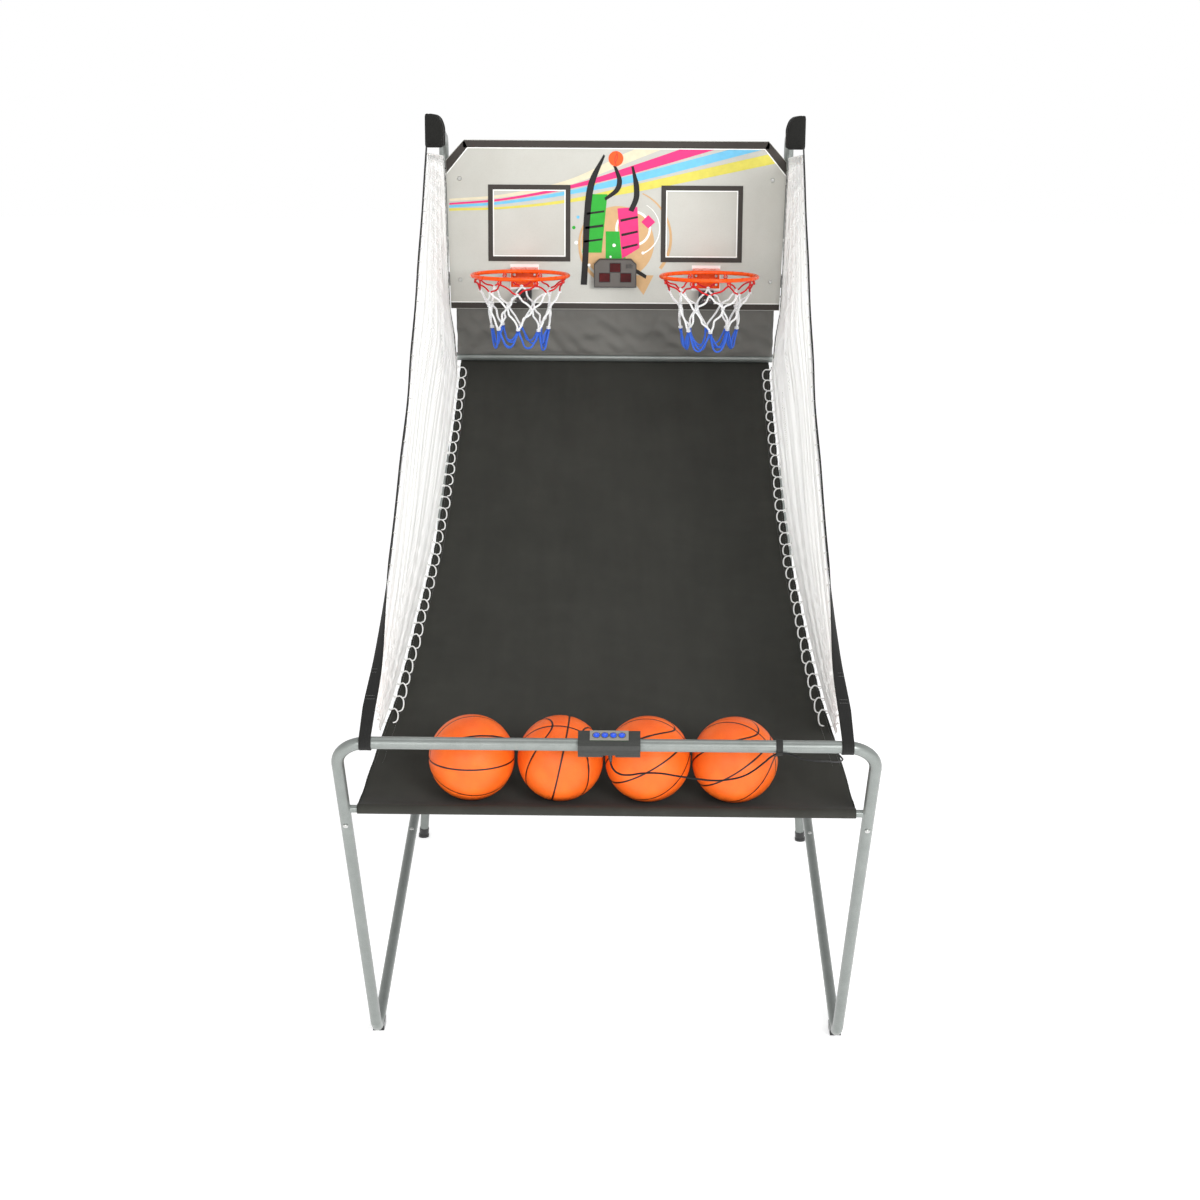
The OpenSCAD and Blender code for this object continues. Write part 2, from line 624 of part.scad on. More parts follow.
// half width of the ramp sheet by distance from the front bar, and its run between the tubes
half_tab = [[0, 506], [120, 506], [185, 508], [260, 501], [317, 494], [398, 485], [512, 469], [680, 455],
  [852, 443], [1032, 430], [1216, 423], [1602, 417], [1810, 416]];
ramp_a = [260, 738];
ramp_b = [ramp_top[1] - y0 + 5.6, 1419];
function ramp_mid(t) = mix(ramp_a, ramp_b, t) + [0, -35 * 4 * t * (1 - t)];

// ---------- lead from the control unit ----------
lead_pts = concat([[8, -8, 876], [9, -12, 862], [12, -16, 851], [18, -20, 843], [28, -22, 839], [44, -22, 838],
  [64, -21, 841], [86, -20, 842], [108, -20, 841], [140, -20, 836], [170, -20, 832], [200, -20, 828],
  [222, -20, 828], [246, -20, 831], [270, -20, 838], [290, -20, 850], [304, -18, 861], [315, -15, 870.5],
  [324, -12.2, 878], [332, -11, 881], [343, -11, 881], [351, -9.5, 880], [360, -5, 876.5], [370, 3, 871.5],
  [384, 18, 862], [400, 42, 851], [416, 68, 841.5], [432, 98, 831], [446, 132, 820.5], [458, 166, 809],
  [470, 204, 796], [480, 240, 785], [488, 276, 775], [493.5, 302, 768.5], [497.5, 326, 763], [499, 346, 758.5],
  [498, 366, 755.5], [492, 388, 756], [484, 412, 763], [474, 446, 777], [464, 486, 796]],
  [for (y = [540:60:1680]) [lookup(y, half_tab) - 18, y, lead_z(y)]],
  [[400, 1722, 1370], [410, 1756, 1384], [424, 1784, 1403], [436, 1799, 1424], [446, 1802, 1448],
  [454, 1800, 1476], [458, 1798, 1510], [459.6, 1796, 1550], [456, 1796, 1580], [443, 1798, 1598], [420, 1801, 1604],
  [390, 1803, 1598], [350, 1803, 1586], [300, 1802, 1574], [250, 1800, 1568], [200, 1798, 1570],
  [150, 1794, 1582], [112, 1788, 1602], [88, 1780, 1624], [72, 1772, 1641], [56.5, 1768, 1650]]);
function lead_z(y) = ramp_mid((y - ramp_a[0]) / (ramp_b[0] - ramp_a[0]))[1] - 9;
lead = [for (p = lead_pts) [p[0], p[1] + y0, p[2]]];
module control_cable() {
  color(black) cord(lead, 1.9, ref = [0.31, 0.12, -0.94]);
}
module tie_ring(p, d, r, w, t = 1.4) {
  difference() {
    rod(p - d * w / 2, p + d * w / 2, r + t, 40);
    rod(p - d * w, p + d * w, r, 40);
  }
}
module cable_ties() {
  color(black) {
    // cloth tie on the front bar, with a fold that the lead runs through
    difference() {
      union() {
        rod([332, y0, bar_h], [345, y0, bar_h], tr + 1.8, 48);
        rod([332, y0 - 11, bar_h - 11], [345, y0 - 11, bar_h - 11], 4.2, 24);
      }
      rod([320, y0, bar_h], [360, y0, bar_h], tr, 48);
      rod([320, y0 - 11, bar_h - 11], [360, y0 - 11, bar_h - 11], 2.5, 24);
    }
    // ties round the posts that hold the back edges of the nets
    for (s = [-1, 1]) for (z = [1930, 1560, 1250])
      tie_ring(side_of(s, at_up(z)), side_of(s, up_d), tr, 5);
  }
}

// ---------- cloth ----------
ramp_line = concat(
  [for (a = [-20:-25:-270]) [120 + 9.6 * cos(a), 714 + 9.6 * sin(a)]],
  [[135, 720.5], [150, 717], [168, 715.6], [185, 715.3], [203, 717.2], [220, 721], [240, 728.5]],
  [for (i = [0:20]) ramp_mid(i / 20)],
  [for (a = [-40:24:80]) [ramp_top[1] - y0 + 12.4 * cos(a), 1430 + 12.4 * sin(a)]]);
function line_n(p, i) = let (d = unit(p[min(i + 1, len(p) - 1)] - p[max(i - 1, 0)])) [-d[1], d[0]];
function ramp_sag(y) = lookup(y, [[240, 0], [420, 10], [900, 30], [1400, 16], [1780, 0]]);
function ramp_grid(o) = [for (i = [0:len(ramp_line) - 1]) let (q = ramp_line[i] + o * line_n(ramp_line, i), h = lookup(q[0], half_tab))
  [for (j = [0:10]) let (u = j / 5 - 1) [u * h, y0 + q[0], q[1] - ramp_sag(q[0]) * (1 - u * u)]]];
module ramp_fabric() {
  color(black) sheet(ramp_grid(1), ramp_grid(-1));
}

panel_line = [[1745.6, 1606], [1745.6, 1580], [1746, 1558], [1751, 1535], [1757, 1510], [1763, 1485], [1767, 1462], [1769.5, 1446], [1772, 1437]];
function panel_grid(o) = [for (i = [0:len(panel_line) - 1]) let (q = panel_line[i])
  [for (j = [0:24]) let (u = j / 12 - 1, w = i > 2 && i < 7 ? 1 : 0)
    [u * 424, y0 + q[0] + o + w * 1.6 * sin(j * 95 + i * 40), q[1]]]];
module back_panel() {
  color([0.42, 0.42, 0.4]) sheet(panel_grid(-0.8), panel_grid(0.8));
}

// side nets: from the front strap to the post and the ramp's edge
strap_tab = [[0, 478], [37, 472], [72, 468], [162, 464], [254, 459], [350, 454.5], [448, 452], [551, 448],
  [656, 446], [811, 447], [999, 449], [1122, 451], [1262, 454]];
function strap_at(y) = [lookup(y, strap_tab), y0 + y, 906 + y * 0.866];
function edge_at(y) = let (t = (y - ramp_a[0]) / (ramp_b[0] - ramp_a[0])) [lookup(y, half_tab) + 6, y0 + y, ramp_mid(t)[1] + 6];
net_b = concat(
  [[454, y0 + 1736, 1962], [450.5, y0 + 1738, 1868], [448, y0 + 1738, 1760], [444.5, y0 + 1738, 1650], [441, y0 + 1740, 1560], [430, y0 + 1744, 1490]],
  [for (i = [0:14]) edge_at(1735 - i * 92.5)]);
net_a = [for (i = [0:20]) strap_at(1256 - i * 58.2) + [-2.4, 4, -10]];
function net_grid(s, o) = [for (i = [0:20]) [for (j = [0:6]) let (p = mix(net_a[i], net_b[i], j / 6)) [s * (p[0] + o), p[1], p[2]]]];
module side_net(s) {
  color(white) if (s > 0) sheet(net_grid(1, 0.7), net_grid(1, -0.7));
  else sheet(net_grid(-1, -0.7), net_grid(-1, 0.7));
}
module side_net_left() { side_net(-1); }
module side_net_right() { side_net(1); }

// a flat strap: centre points, width directions, width and thickness
module strap(p, w, b, t) {
  m = len(p);
  pts = [for (i = [0:m - 1]) let (d = tangent(p, i), u = unit(w[i] - d * (w[i] * d)), v = cross(d, u))
    for (c = [[1, 1], [-1, 1], [-1, -1], [1, -1]]) p[i] + u * c[0] * b[i] / 2 + v * c[1] * t / 2];
  fs = concat([[0, 1, 2, 3]], [[for (k = [3:-1:0]) (m - 1) * 4 + k]],
    [for (i = [0:m - 2]) for (k = [0:3]) let (a = i * 4 + k, c = i * 4 + (k + 1) % 4) [c, a, a + 4]],
    [for (i = [0:m - 2]) for (k = [0:3]) let (a = i * 4 + k, c = i * 4 + (k + 1) % 4) [c, a + 4, c + 4]]);
  polyhedron(points = pts, faces = fs, convexity = 6);
}
module net_straps() {
  wr = tr + 2;
  pts = concat([for (i = [0:16]) strap_at(1266 - i * 76)],
    [for (a = [70:20:330]) [468, y0 - wr * sin(a - 90 + 42), bar_h + wr * cos(a - 90 + 42)]]);
  n = len(pts);
  wd = [for (i = [0:n - 1]) i < 17 ? let (q = max(0, (i - 9) / 7) * 90) [cos(90 - q), 0.66 * sin(90 - q), -0.75 * sin(90 - q)] : [1, 0, 0]];
  wb = [for (i = [0:n - 1]) i < 16 ? 24 : i < 17 ? 21 : 18];
  color(black) for (s = [-1, 1])
    strap([for (p = pts) side_of(s, p)], [for (w = wd) side_of(s, w)], wb, 1.8);
}
module net_sleeves() {
  color(black) for (s = [-1, 1]) {
    t = side_of(s, tip);
    a = unit(t - side_of(s, crown));
    difference() {
      translate([t[0] - 23, y0 + 1278, 1998]) cube([46, 92, 78]);
      rod(t - a * 200, t + a * 4, tr + 0.3);
    }
  }
}
// zig-zag lacing between each net and the ramp sheet
module net_lacing() {
  color(white) for (s = [-1, 1])
    cord([for (i = [0:62]) let (y = 1740 - i * 20.6, t = (y - ramp_a[0]) / (ramp_b[0] - ramp_a[0]), h = lookup(y, half_tab), o = i % 2 == 0 ? 2 : -24)
      [s * (h + o), y0 + y, ramp_mid(t)[1] + 3.6 - ramp_sag(y) * (o < 0 ? 0.1 : 0)]], 1.3, ref = [0.05, 0.1, 1]);
}

// ---------- balls ----------
ball_at = [-277, -95, 84, 262];
module ball(i) {
  color(orange) translate([ball_at[i], y0 + 185, 717.4 + ball_d / 2]) sphere(r = ball_d / 2, $fn = 64);
}
module ball_1() { ball(0); }
module ball_2() { ball(1); }
module ball_3() { ball(2); }
module ball_4() { ball(3); }

front_bar();
front_leg_left();
front_leg_right();
rear_runner_left();
rear_runner_right();
rear_post_left();
rear_post_right();
upright_left();
upright_right();
ramp_front_tube();
ramp_top_tube();
rear_cross_tube();
frame_bolts();
tube_plugs();
foot_caps();
floor_glides();
backboard();
board_clamps();
board_bolts();
rim_left();
rim_right();
rim_bracket_left();
rim_bracket_right();
rim_plates();
sensor_box_left();
sensor_box_right();
sensor_lever_left();
sensor_lever_right();
sensor_pins();
hoop_net_left();
hoop_net_right();
score_front();
score_back();
score_lens();
score_board();
speaker();
batteries();
battery_door();
control_front();
control_back();
control_panel();
control_board();
button_1();
button_2();
button_3();
button_4();
power_switch();
control_cable();
cable_ties();
ramp_fabric();
back_panel();
side_net_left();
side_net_right();
net_straps();
net_sleeves();
net_lacing();
ball_1();
ball_2();
ball_3();
ball_4();
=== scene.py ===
import json
import math
import bpy
import numpy as np
from mathutils import Matrix, Vector


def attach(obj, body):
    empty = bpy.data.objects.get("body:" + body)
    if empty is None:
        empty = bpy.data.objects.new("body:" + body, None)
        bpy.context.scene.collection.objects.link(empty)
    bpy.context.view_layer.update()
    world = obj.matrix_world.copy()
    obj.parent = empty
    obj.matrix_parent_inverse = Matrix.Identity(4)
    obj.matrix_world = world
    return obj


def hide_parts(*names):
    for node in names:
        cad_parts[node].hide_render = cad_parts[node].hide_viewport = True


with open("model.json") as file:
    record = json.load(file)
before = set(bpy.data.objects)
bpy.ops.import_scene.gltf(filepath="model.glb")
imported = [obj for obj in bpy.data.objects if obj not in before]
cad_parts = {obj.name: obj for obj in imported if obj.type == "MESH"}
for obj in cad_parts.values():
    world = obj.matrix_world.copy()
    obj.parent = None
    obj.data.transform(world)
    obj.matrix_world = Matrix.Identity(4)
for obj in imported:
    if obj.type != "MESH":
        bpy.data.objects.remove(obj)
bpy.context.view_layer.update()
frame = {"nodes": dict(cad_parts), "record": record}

Y0 = -0.9672            # the front bar
SC = bpy.context.scene
rng = np.random.default_rng(11)


# ------------------------------------------------------------------ camera
def make_camera():
    data = bpy.data.cameras.new("camera")
    data.sensor_fit = "HORIZONTAL"
    data.sensor_width = 36
    data.lens = 64.5
    data.clip_end = 60
    ob = bpy.data.objects.new("camera", data)
    SC.collection.objects.link(ob)
    p, yaw, roll = math.radians(13.508), math.radians(-0.732), math.radians(0.322)
    f = Vector((math.sin(yaw) * math.cos(p), math.cos(yaw) * math.cos(p), -math.sin(p)))
    r0 = Vector((math.cos(yaw), -math.sin(yaw), 0))
    u0 = r0.cross(f)
    r = r0 * math.cos(roll) + u0 * math.sin(roll)
    u = u0 * math.cos(roll) - r0 * math.sin(roll)
    m = Matrix((r, u, -f)).transposed().to_4x4()
    m.translation = Vector((0.0379, -4.9902, 2.15))
    ob.matrix_world = m
    SC.camera = ob


make_camera()


# ------------------------------------------------------------------ small tools
def interp(x, table):
    return np.interp(x, [t[0] for t in table], [t[1] for t in table])


def unit(v):
    v = np.asarray(v, float)
    return v / max(np.linalg.norm(v), 1e-12)


def resample(pts, n):
    pts = np.asarray(pts, float)
    s = np.concatenate([[0], np.cumsum(np.linalg.norm(np.diff(pts, axis=0), axis=1))])
    t = np.linspace(0, s[-1], n)
    return np.stack([np.interp(t, s, pts[:, k]) for k in range(pts.shape[1])], 1)


def smooth_line(pts, n, times=2):
    """Catmull-Rom through the points, then spread evenly."""
    p = np.asarray(pts, float)
    q = np.vstack([2 * p[0] - p[1], p, 2 * p[-1] - p[-2]])
    out = []
    for i in range(1, len(q) - 2):
        for t in np.linspace(0, 1, 10, endpoint=False):
            a, b, c, d = q[i - 1], q[i], q[i + 1], q[i + 2]
            out.append(0.5 * (2 * b + (c - a) * t + (2 * a - 5 * b + 4 * c - d) * t * t
                              + (3 * b - a - 3 * c + d) * t ** 3))
    out.append(p[-1])
    return resample(out, n)


class Bag:
    """Collects many shapes in one mesh, with UVs in metres and a material number for each face."""

    def __init__(self):
        self.v, self.f, self.m, self.uv = [], [], [], []

    def add(self, v, f, mi=0, uv=None):
        o = len(self.v)
        self.v.extend([tuple(map(float, x)) for x in v])
        for k, face in enumerate(f):
            self.f.append(tuple(o + i for i in face))
            self.m.append(mi)
            self.uv.append(uv[k] if uv else [(0, 0)] * len(face))

    def tube(self, pts, r, n=6, mi=0, closed=False, flat=1.0, up=None):
        p = np.asarray(pts, float)
        m = len(p)
        rr = np.full(m, float(r)) if np.isscalar(r) else np.asarray(r, float)
        if closed:
            t = np.roll(p, -1, 0) - np.roll(p, 1, 0)
        else:
            t = np.gradient(p, axis=0)
        t /= np.maximum(np.linalg.norm(t, axis=1), 1e-12)[:, None]
        u = np.array([0, 0, 1.0]) if up is None else np.asarray(up, float)
        if abs(np.dot(u, t[0])) > 0.9:
            u = np.array([1.0, 0.1, 0]) if up is None else u
        u = unit(u - t[0] * np.dot(u, t[0]))
        us = []
        for i in range(m):
            u = unit(u - t[i] * np.dot(u, t[i]))
            us.append(u)
        us = np.array(us)
        ws = np.cross(t, us)
        a = np.arange(n) * 2 * np.pi / n
        ring = (p[:, None] + rr[:, None, None] * (np.cos(a)[None, :, None] * us[:, None]
                + flat * np.sin(a)[None, :, None] * ws[:, None]))
        v = ring.reshape(-1, 3)
        s = np.concatenate([[0], np.cumsum(np.linalg.norm(np.diff(p, axis=0), axis=1))])
        if closed:
            s = np.append(s, s[-1] + np.linalg.norm(p[0] - p[-1]))
        f, uv = [], []
        for i in range(m if closed else m - 1):
            j = (i + 1) % m
            for k in range(n):
                l = (k + 1) % n
                f.append((i * n + k, j * n + k, j * n + l, i * n + l))
                uv.append([(k / n, s[i]), (k / n, s[i + 1]), ((k + 1) / n, s[i + 1]), ((k + 1) / n, s[i])])
        if not closed:
            f.append(tuple(range(n)))
            uv.append([(0, 0)] * n)
            f.append(tuple((m - 1) * n + k for k in range(n - 1, -1, -1)))
            uv.append([(0, 0)] * n)
        self.add(v, f, mi, uv)

    def ribbon(self, pts, wdir, w, t, mi=0):
        """A flat strap with rounded selvedges: eight points round each section."""
        p = np.asarray(pts, float)
        m = len(p)
        w = np.full(m, float(w)) if np.isscalar(w) else np.asarray(w, float)
        d = np.gradient(p, axis=0)
        d /= np.linalg.norm(d, axis=1)[:, None]
        prof = [(-0.5, 0.0), (-0.47, 0.5), (-0.16, 0.38), (0.16, 0.38), (0.47, 0.5), (0.5, 0.0),
                (0.47, -0.5), (0.16, -0.38), (-0.16, -0.38), (-0.47, -0.5)]
        k = len(prof)
        v = []
        for i in range(m):
            u = np.asarray(wdir[i], float)
            u = unit(u - d[i] * np.dot(u, d[i]))
            q = np.cross(d[i], u)
            v.extend([p[i] + u * a * w[i] + q * b * t for a, b in prof])
        s = np.concatenate([[0], np.cumsum(np.linalg.norm(np.diff(p, axis=0), axis=1))])
        f, uv = [], []
        for i in range(m - 1):
            for a in range(k):
                b = (a + 1) % k
                f.append((i * k + a, i * k + b, (i + 1) * k + b, (i + 1) * k + a))
                ua, ub = prof[a][0] * w[i], prof[b][0] * w[i]
                uv.append([(ua, s[i]), (ub, s[i]), (ub, s[i + 1]), (ua, s[i + 1])])
        f.append(tuple(range(k - 1, -1, -1)))
        uv.append([(0, 0)] * k)
        f.append(tuple((m - 1) * k + a for a in range(k)))
        uv.append([(0, 0)] * k)
        self.add(v, f, mi, uv)

    def ball(self, c, r, mi=0, n=8, m=6, squash=1.0, axis=None):
        c = np.asarray(c, float)
        v = [c + np.array([0, 0, r * squash])]
        for i in range(1, m):
            a = math.pi * i / m
            for k in range(n):
                b = 2 * math.pi * k / n
                v.append(c + np.array([r * math.sin(a) * math.cos(b), r * math.sin(a) * math.sin(b), r * squash * math.cos(a)]))
        v.append(c - np.array([0, 0, r * squash]))
        f = [(0, 1 + k, 1 + (k + 1) % n) for k in range(n)]
        for i in range(m - 2):
            for k in range(n):
                a, b = 1 + i * n + k, 1 + i * n + (k + 1) % n
                f.append((a, a + n, b + n, b))
        e = len(v) - 1
        f += [(e, 1 + (m - 2) * n + (k + 1) % n, 1 + (m - 2) * n + k) for k in range(n)]
        self.add(v, f, mi)

    def grid(self, g, mi=0, uv=None):
        g = np.asarray(g, float)
        m, n = g.shape[:2]
        f, q = [], []
        if uv is None:
            uv = metric_uv(g)
        for i in range(m - 1):
            for j in range(n - 1):
                a = i * n + j
                f.append((a, a + 1, a + n + 1, a + n))
                q.append([tuple(uv[i][j]), tuple(uv[i][j + 1]), tuple(uv[i + 1][j + 1]), tuple(uv[i + 1][j])])
        self.add(g.reshape(-1, 3), f, mi, q)

    def make(self, name, mats, smooth=True, body="frame", slot=None):
        me = bpy.data.meshes.new(name)
        me.from_pydata(self.v, [], self.f)
        for m in mats if isinstance(mats, (list, tuple)) else [mats]:
            me.materials.append(m)
        me.polygons.foreach_set("material_index", self.m)
        me.polygons.foreach_set("use_smooth", [smooth] * len(self.f))
        layer = me.uv_layers.new(name="uv")
        layer.data.foreach_set("uv", [c for face in self.uv for q in face for c in q])
        me.update()
        me.validate()
        ob = bpy.data.objects.new(name, me)
        SC.collection.objects.link(ob)
        if body:
            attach(ob, body)
        return ob


def metric_uv(g):
    g = np.asarray(g, float)
    v = np.concatenate([[0], np.cumsum(np.linalg.norm(np.diff(g[:, g.shape[1] // 2], axis=0), axis=1))])
    out = np.zeros(g.shape[:2] + (2,))
    for i in range(g.shape[0]):
        s = np.concatenate([[0], np.cumsum(np.linalg.norm(np.diff(g[i], axis=0), axis=1))])
        out[i, :, 0] = s - s[-1] / 2
        out[i, :, 1] = v[i]
    return out


def edge_split(ob, angle=35):
    ob.data.polygons.foreach_set("use_smooth", [True] * len(ob.data.polygons))
    ob.data.set_sharp_from_angle(angle=math.radians(angle))


# ------------------------------------------------------------------ materials
class Shader:
    def __init__(self, name, **sockets):
        self.m = bpy.data.materials.new(name)
        self.m.use_nodes = True
        self.t = self.m.node_tree
        self.t.nodes.clear()
        self.out = self.t.nodes.new("ShaderNodeOutputMaterial")
        self.b = self.t.nodes.new("ShaderNodeBsdfPrincipled")
        self.link(self.b.outputs[0], self.out.inputs[0])
        self.tc = self.t.nodes.new("ShaderNodeTexCoord")
        for k, v in sockets.items():
            self.b.inputs[k.replace("_", " ")].default_value = v
        self.height = None

    def link(self, a, b):
        self.t.links.new(a, b)

    def coords(self, kind="Object", scale=(1, 1, 1), rotate=(0, 0, 0)):
        if scale == (1, 1, 1) and rotate == (0, 0, 0):
            return self.tc.outputs[kind]
        n = self.t.nodes.new("ShaderNodeMapping")
        n.inputs["Scale"].default_value = scale
        n.inputs["Rotation"].default_value = rotate
        self.link(self.tc.outputs[kind], n.inputs[0])
        return n.outputs[0]

    def noise(self, scale, detail=4, rough=0.55, at=None, distortion=0.0):
        n = self.t.nodes.new("ShaderNodeTexNoise")
        n.inputs["Scale"].default_value = scale
        n.inputs["Detail"].default_value = detail
        n.inputs["Roughness"].default_value = rough
        n.inputs["Distortion"].default_value = distortion
        self.link(at or self.tc.outputs["Object"], n.inputs["Vector"])
        return n.outputs[0]

    def voronoi(self, scale, at=None, feature="F1", smooth=None):
        n = self.t.nodes.new("ShaderNodeTexVoronoi")
        n.feature = feature
        n.inputs["Scale"].default_value = scale
        self.link(at or self.tc.outputs["Object"], n.inputs["Vector"])
        return n.outputs[0]

    def wave(self, scale, direction="X", at=None, distortion=0.0, profile="SIN"):
        n = self.t.nodes.new("ShaderNodeTexWave")
        n.bands_direction = direction
        n.wave_profile = profile
        n.inputs["Scale"].default_value = scale
        n.inputs["Distortion"].default_value = distortion
        self.link(at or self.tc.outputs["Object"], n.inputs["Vector"])
        return n.outputs["Fac"] if "Fac" in n.outputs else n.outputs[1]

    def math(self, op, a, b=None, c=None, clamp=False):
        n = self.t.nodes.new("ShaderNodeMath")
        n.operation = op
        n.use_clamp = clamp
        for i, x in enumerate((a, b, c)):
            if x is None:
                continue
            if isinstance(x, (int, float)):
                n.inputs[i].default_value = x
            else:
                self.link(x, n.inputs[i])
        return n.outputs[0]

    def ramp(self, fac, stops):
        n = self.t.nodes.new("ShaderNodeValToRGB")
        e = n.color_ramp.elements
        while len(e) < len(stops):
            e.new(0.5)
        for i, (at, col) in enumerate(stops):
            e[i].position = at
            e[i].color = tuple(col) + (1,) if len(col) == 3 else col
        self.link(fac, n.inputs[0])
        return n.outputs[0]

    def mix(self, fac, a, b, kind="MIX"):
        n = self.t.nodes.new("ShaderNodeMix")
        n.data_type = "RGBA"
        n.blend_type = kind
        for sock, x in ((n.inputs[0], fac), (n.inputs[6], a), (n.inputs[7], b)):
            if isinstance(x, (int, float)):
                sock.default_value = x
            elif isinstance(x, (tuple, list)):
                sock.default_value = tuple(x) + (1,) if len(x) == 3 else x
            else:
                self.link(x, sock)
        return n.outputs[2]

    def remap(self, x, lo, hi, a=0.0, b=1.0):
        n = self.t.nodes.new("ShaderNodeMapRange")
        n.inputs["From Min"].default_value = a
        n.inputs["From Max"].default_value = b
        n.inputs["To Min"].default_value = lo
        n.inputs["To Max"].default_value = hi
        self.link(x, n.inputs["Value"])
        return n.outputs[0]

    def color(self, x):
        self.link(x, self.b.inputs["Base Color"])

    def rough(self, x):
        self.link(x, self.b.inputs["Roughness"])

    def bump(self, x, strength=0.3, distance=0.001):
        n = self.t.nodes.new("ShaderNodeBump")
        n.inputs["Strength"].default_value = strength
        n.inputs["Distance"].default_value = distance
        self.link(x, n.inputs["Height"])
        if self.height is not None:
            self.link(self.height, n.inputs["Normal"])
        self.height = n.outputs[0]
        self.link(self.height, self.b.inputs["Normal"])


def lin(r, g, b):
    """8-bit display colour to linear."""
    return tuple((c / 255 / 12.92) if c / 255 <= 0.04045 else ((c / 255 + 0.055) / 1.055) ** 2.4 for c in (r, g, b))


def tint(c, k):
    return tuple(min(1.0, max(0.0, x * k)) for x in c)


def plastic(name, col, rough=0.45, var=0.12, grain=900, bump=0.15, dist=0.0003, scale=14, **kw):
    s = Shader(name, **kw)
    n = s.noise(scale, 6, 0.6)
    s.color(s.ramp(n, [(0.25, tint(col, 1 - var)), (0.75, tint(col, 1 + var))]))
    s.rough(s.remap(s.noise(scale * 4, 4), rough * 0.8, min(1, rough * 1.25)))
    s.bump(s.noise(grain, 2), bump, dist)
    return s.m


def metal(name, col, rough=0.3, painted_fold_streaks=None, var=0.08, spots=None, **kw):
    s = Shader(name, Metallic=1.0, **kw)
    n = s.noise(9, 6, 0.6)
    c = s.ramp(n, [(0.2, tint(col, 1 - var)), (0.8, tint(col, 1 + var))])
    if spots:
        c = s.mix(s.ramp(s.noise(70, 5, 0.7), [(0.62, (0, 0, 0)), (0.74, (1, 1, 1))]), c, spots)
    s.color(c)
    s.rough(s.remap(s.noise(60, 5), rough * 0.75, rough * 1.3))
    s.bump(s.noise(1400, 2), 0.06, 0.0002)
    return s.m


def weave(name, dark, light, pitch=0.0014, rough=0.9, bump=0.5, dist=0.0004, fuzz=0.25, blotch_and_fold_shade=0.12, sheen=0.03, painted_fold_streaks=0.0):
    s = Shader(name, Sheen_Weight=sheen, Sheen_Roughness=0.6, Specular_IOR_Level=0.12)
    uv = s.coords("UV")
    k = 0.31416 / pitch
    a, b = s.wave(k / 2, "X", uv), s.wave(k / 2, "Y", uv)
    h = s.math("ADD", s.math("MULTIPLY", a, b), s.math("MULTIPLY", s.math("SUBTRACT", 1.0, a), s.math("SUBTRACT", 1.0, b)))
    c = s.ramp(h, [(0.1, dark), (0.9, light)])
    # soft blotches darken the cloth at random; on the ramp cloth they are made stronger as painted shade of its
    # wrinkles
    n = s.noise(7, 5, 0.6)
    c = s.mix(1.0, c, s.ramp(n, [(0.25, (1 - blotch_and_fold_shade,) * 3), (0.75, (1.0,) * 3)]), "MULTIPLY")
    # long streaks along the cloth: painted shade standing in for the ramp cloth's wrinkles
    if painted_fold_streaks:
        k = s.noise(1.0, 5, 0.6, at=s.coords("Object", scale=(26.0, 3.0, 3.0)))
        c = s.mix(1.0, c, s.ramp(k, [(0.35, (1 - painted_fold_streaks,) * 3), (0.65, (1.0,) * 3)]), "MULTIPLY")
    f = s.noise(1800, 3, 0.7)
    c = s.mix(s.math("MULTIPLY", f, fuzz), c, light)
    s.color(c)
    s.rough(s.remap(f, rough - 0.08, min(1.0, rough + 0.06)))
    s.bump(h, bump, dist)
    s.bump(s.noise(60, 4), 0.25, 0.0008)
    return s.m


def twisted(name, col, dark, lay=300, rough=0.75, sheen=0.05, bump=0.6, dist=0.0004, painted_glow=0.0):
    """Cord with a laid twist: UV x goes round it once, y runs along it in metres. The glow strength is painted light:
    the cord emits its own colour, so it looks brighter than the lamps make it.
    """
    s = Shader(name, Sheen_Weight=sheen, Specular_IOR_Level=0.3, Emission_Color=tuple(col) + (1,), Emission_Strength=painted_glow)
    uv = s.coords("UV", scale=(1.0, lay, 1.0))
    n = s.t.nodes.new("ShaderNodeSeparateXYZ")
    s.link(uv, n.inputs[0])
    v = s.math("FRACT", s.math("ADD", s.math("MULTIPLY", n.outputs[0], 2.0), n.outputs[1]))
    h = s.math("SINE", s.math("MULTIPLY", v, math.pi))
    c = s.ramp(h, [(0.0, dark), (0.7, col)])
    c = s.mix(s.math("MULTIPLY", s.noise(90, 4), 0.35), c, tint(col, 0.8))
    s.color(c)
    s.rough(s.remap(s.noise(300, 3), rough - 0.1, min(1.0, rough + 0.1)))
    s.bump(h, bump, dist)
    return s.m


def webbing(name, dark, light):
    s = Shader(name, Sheen_Weight=0.05, Specular_IOR_Level=0.2)
    uv = s.coords("UV")
    a = s.wave(0.31416 / 0.0016, "Y", uv)
    b = s.wave(0.31416 / 0.0030, "X", uv)
    h = s.math("ADD", s.math("MULTIPLY", a, 0.6), s.math("MULTIPLY", b, 0.4))
    c = s.ramp(h, [(0.1, dark), (0.9, light)])
    s.color(s.mix(s.math("MULTIPLY", s.noise(40, 5), 0.4), c, tint(light, 1.4)))
    s.rough(s.remap(s.noise(500, 3), 0.7, 0.95))
    s.bump(h, 0.6, 0.0004)
    return s.m


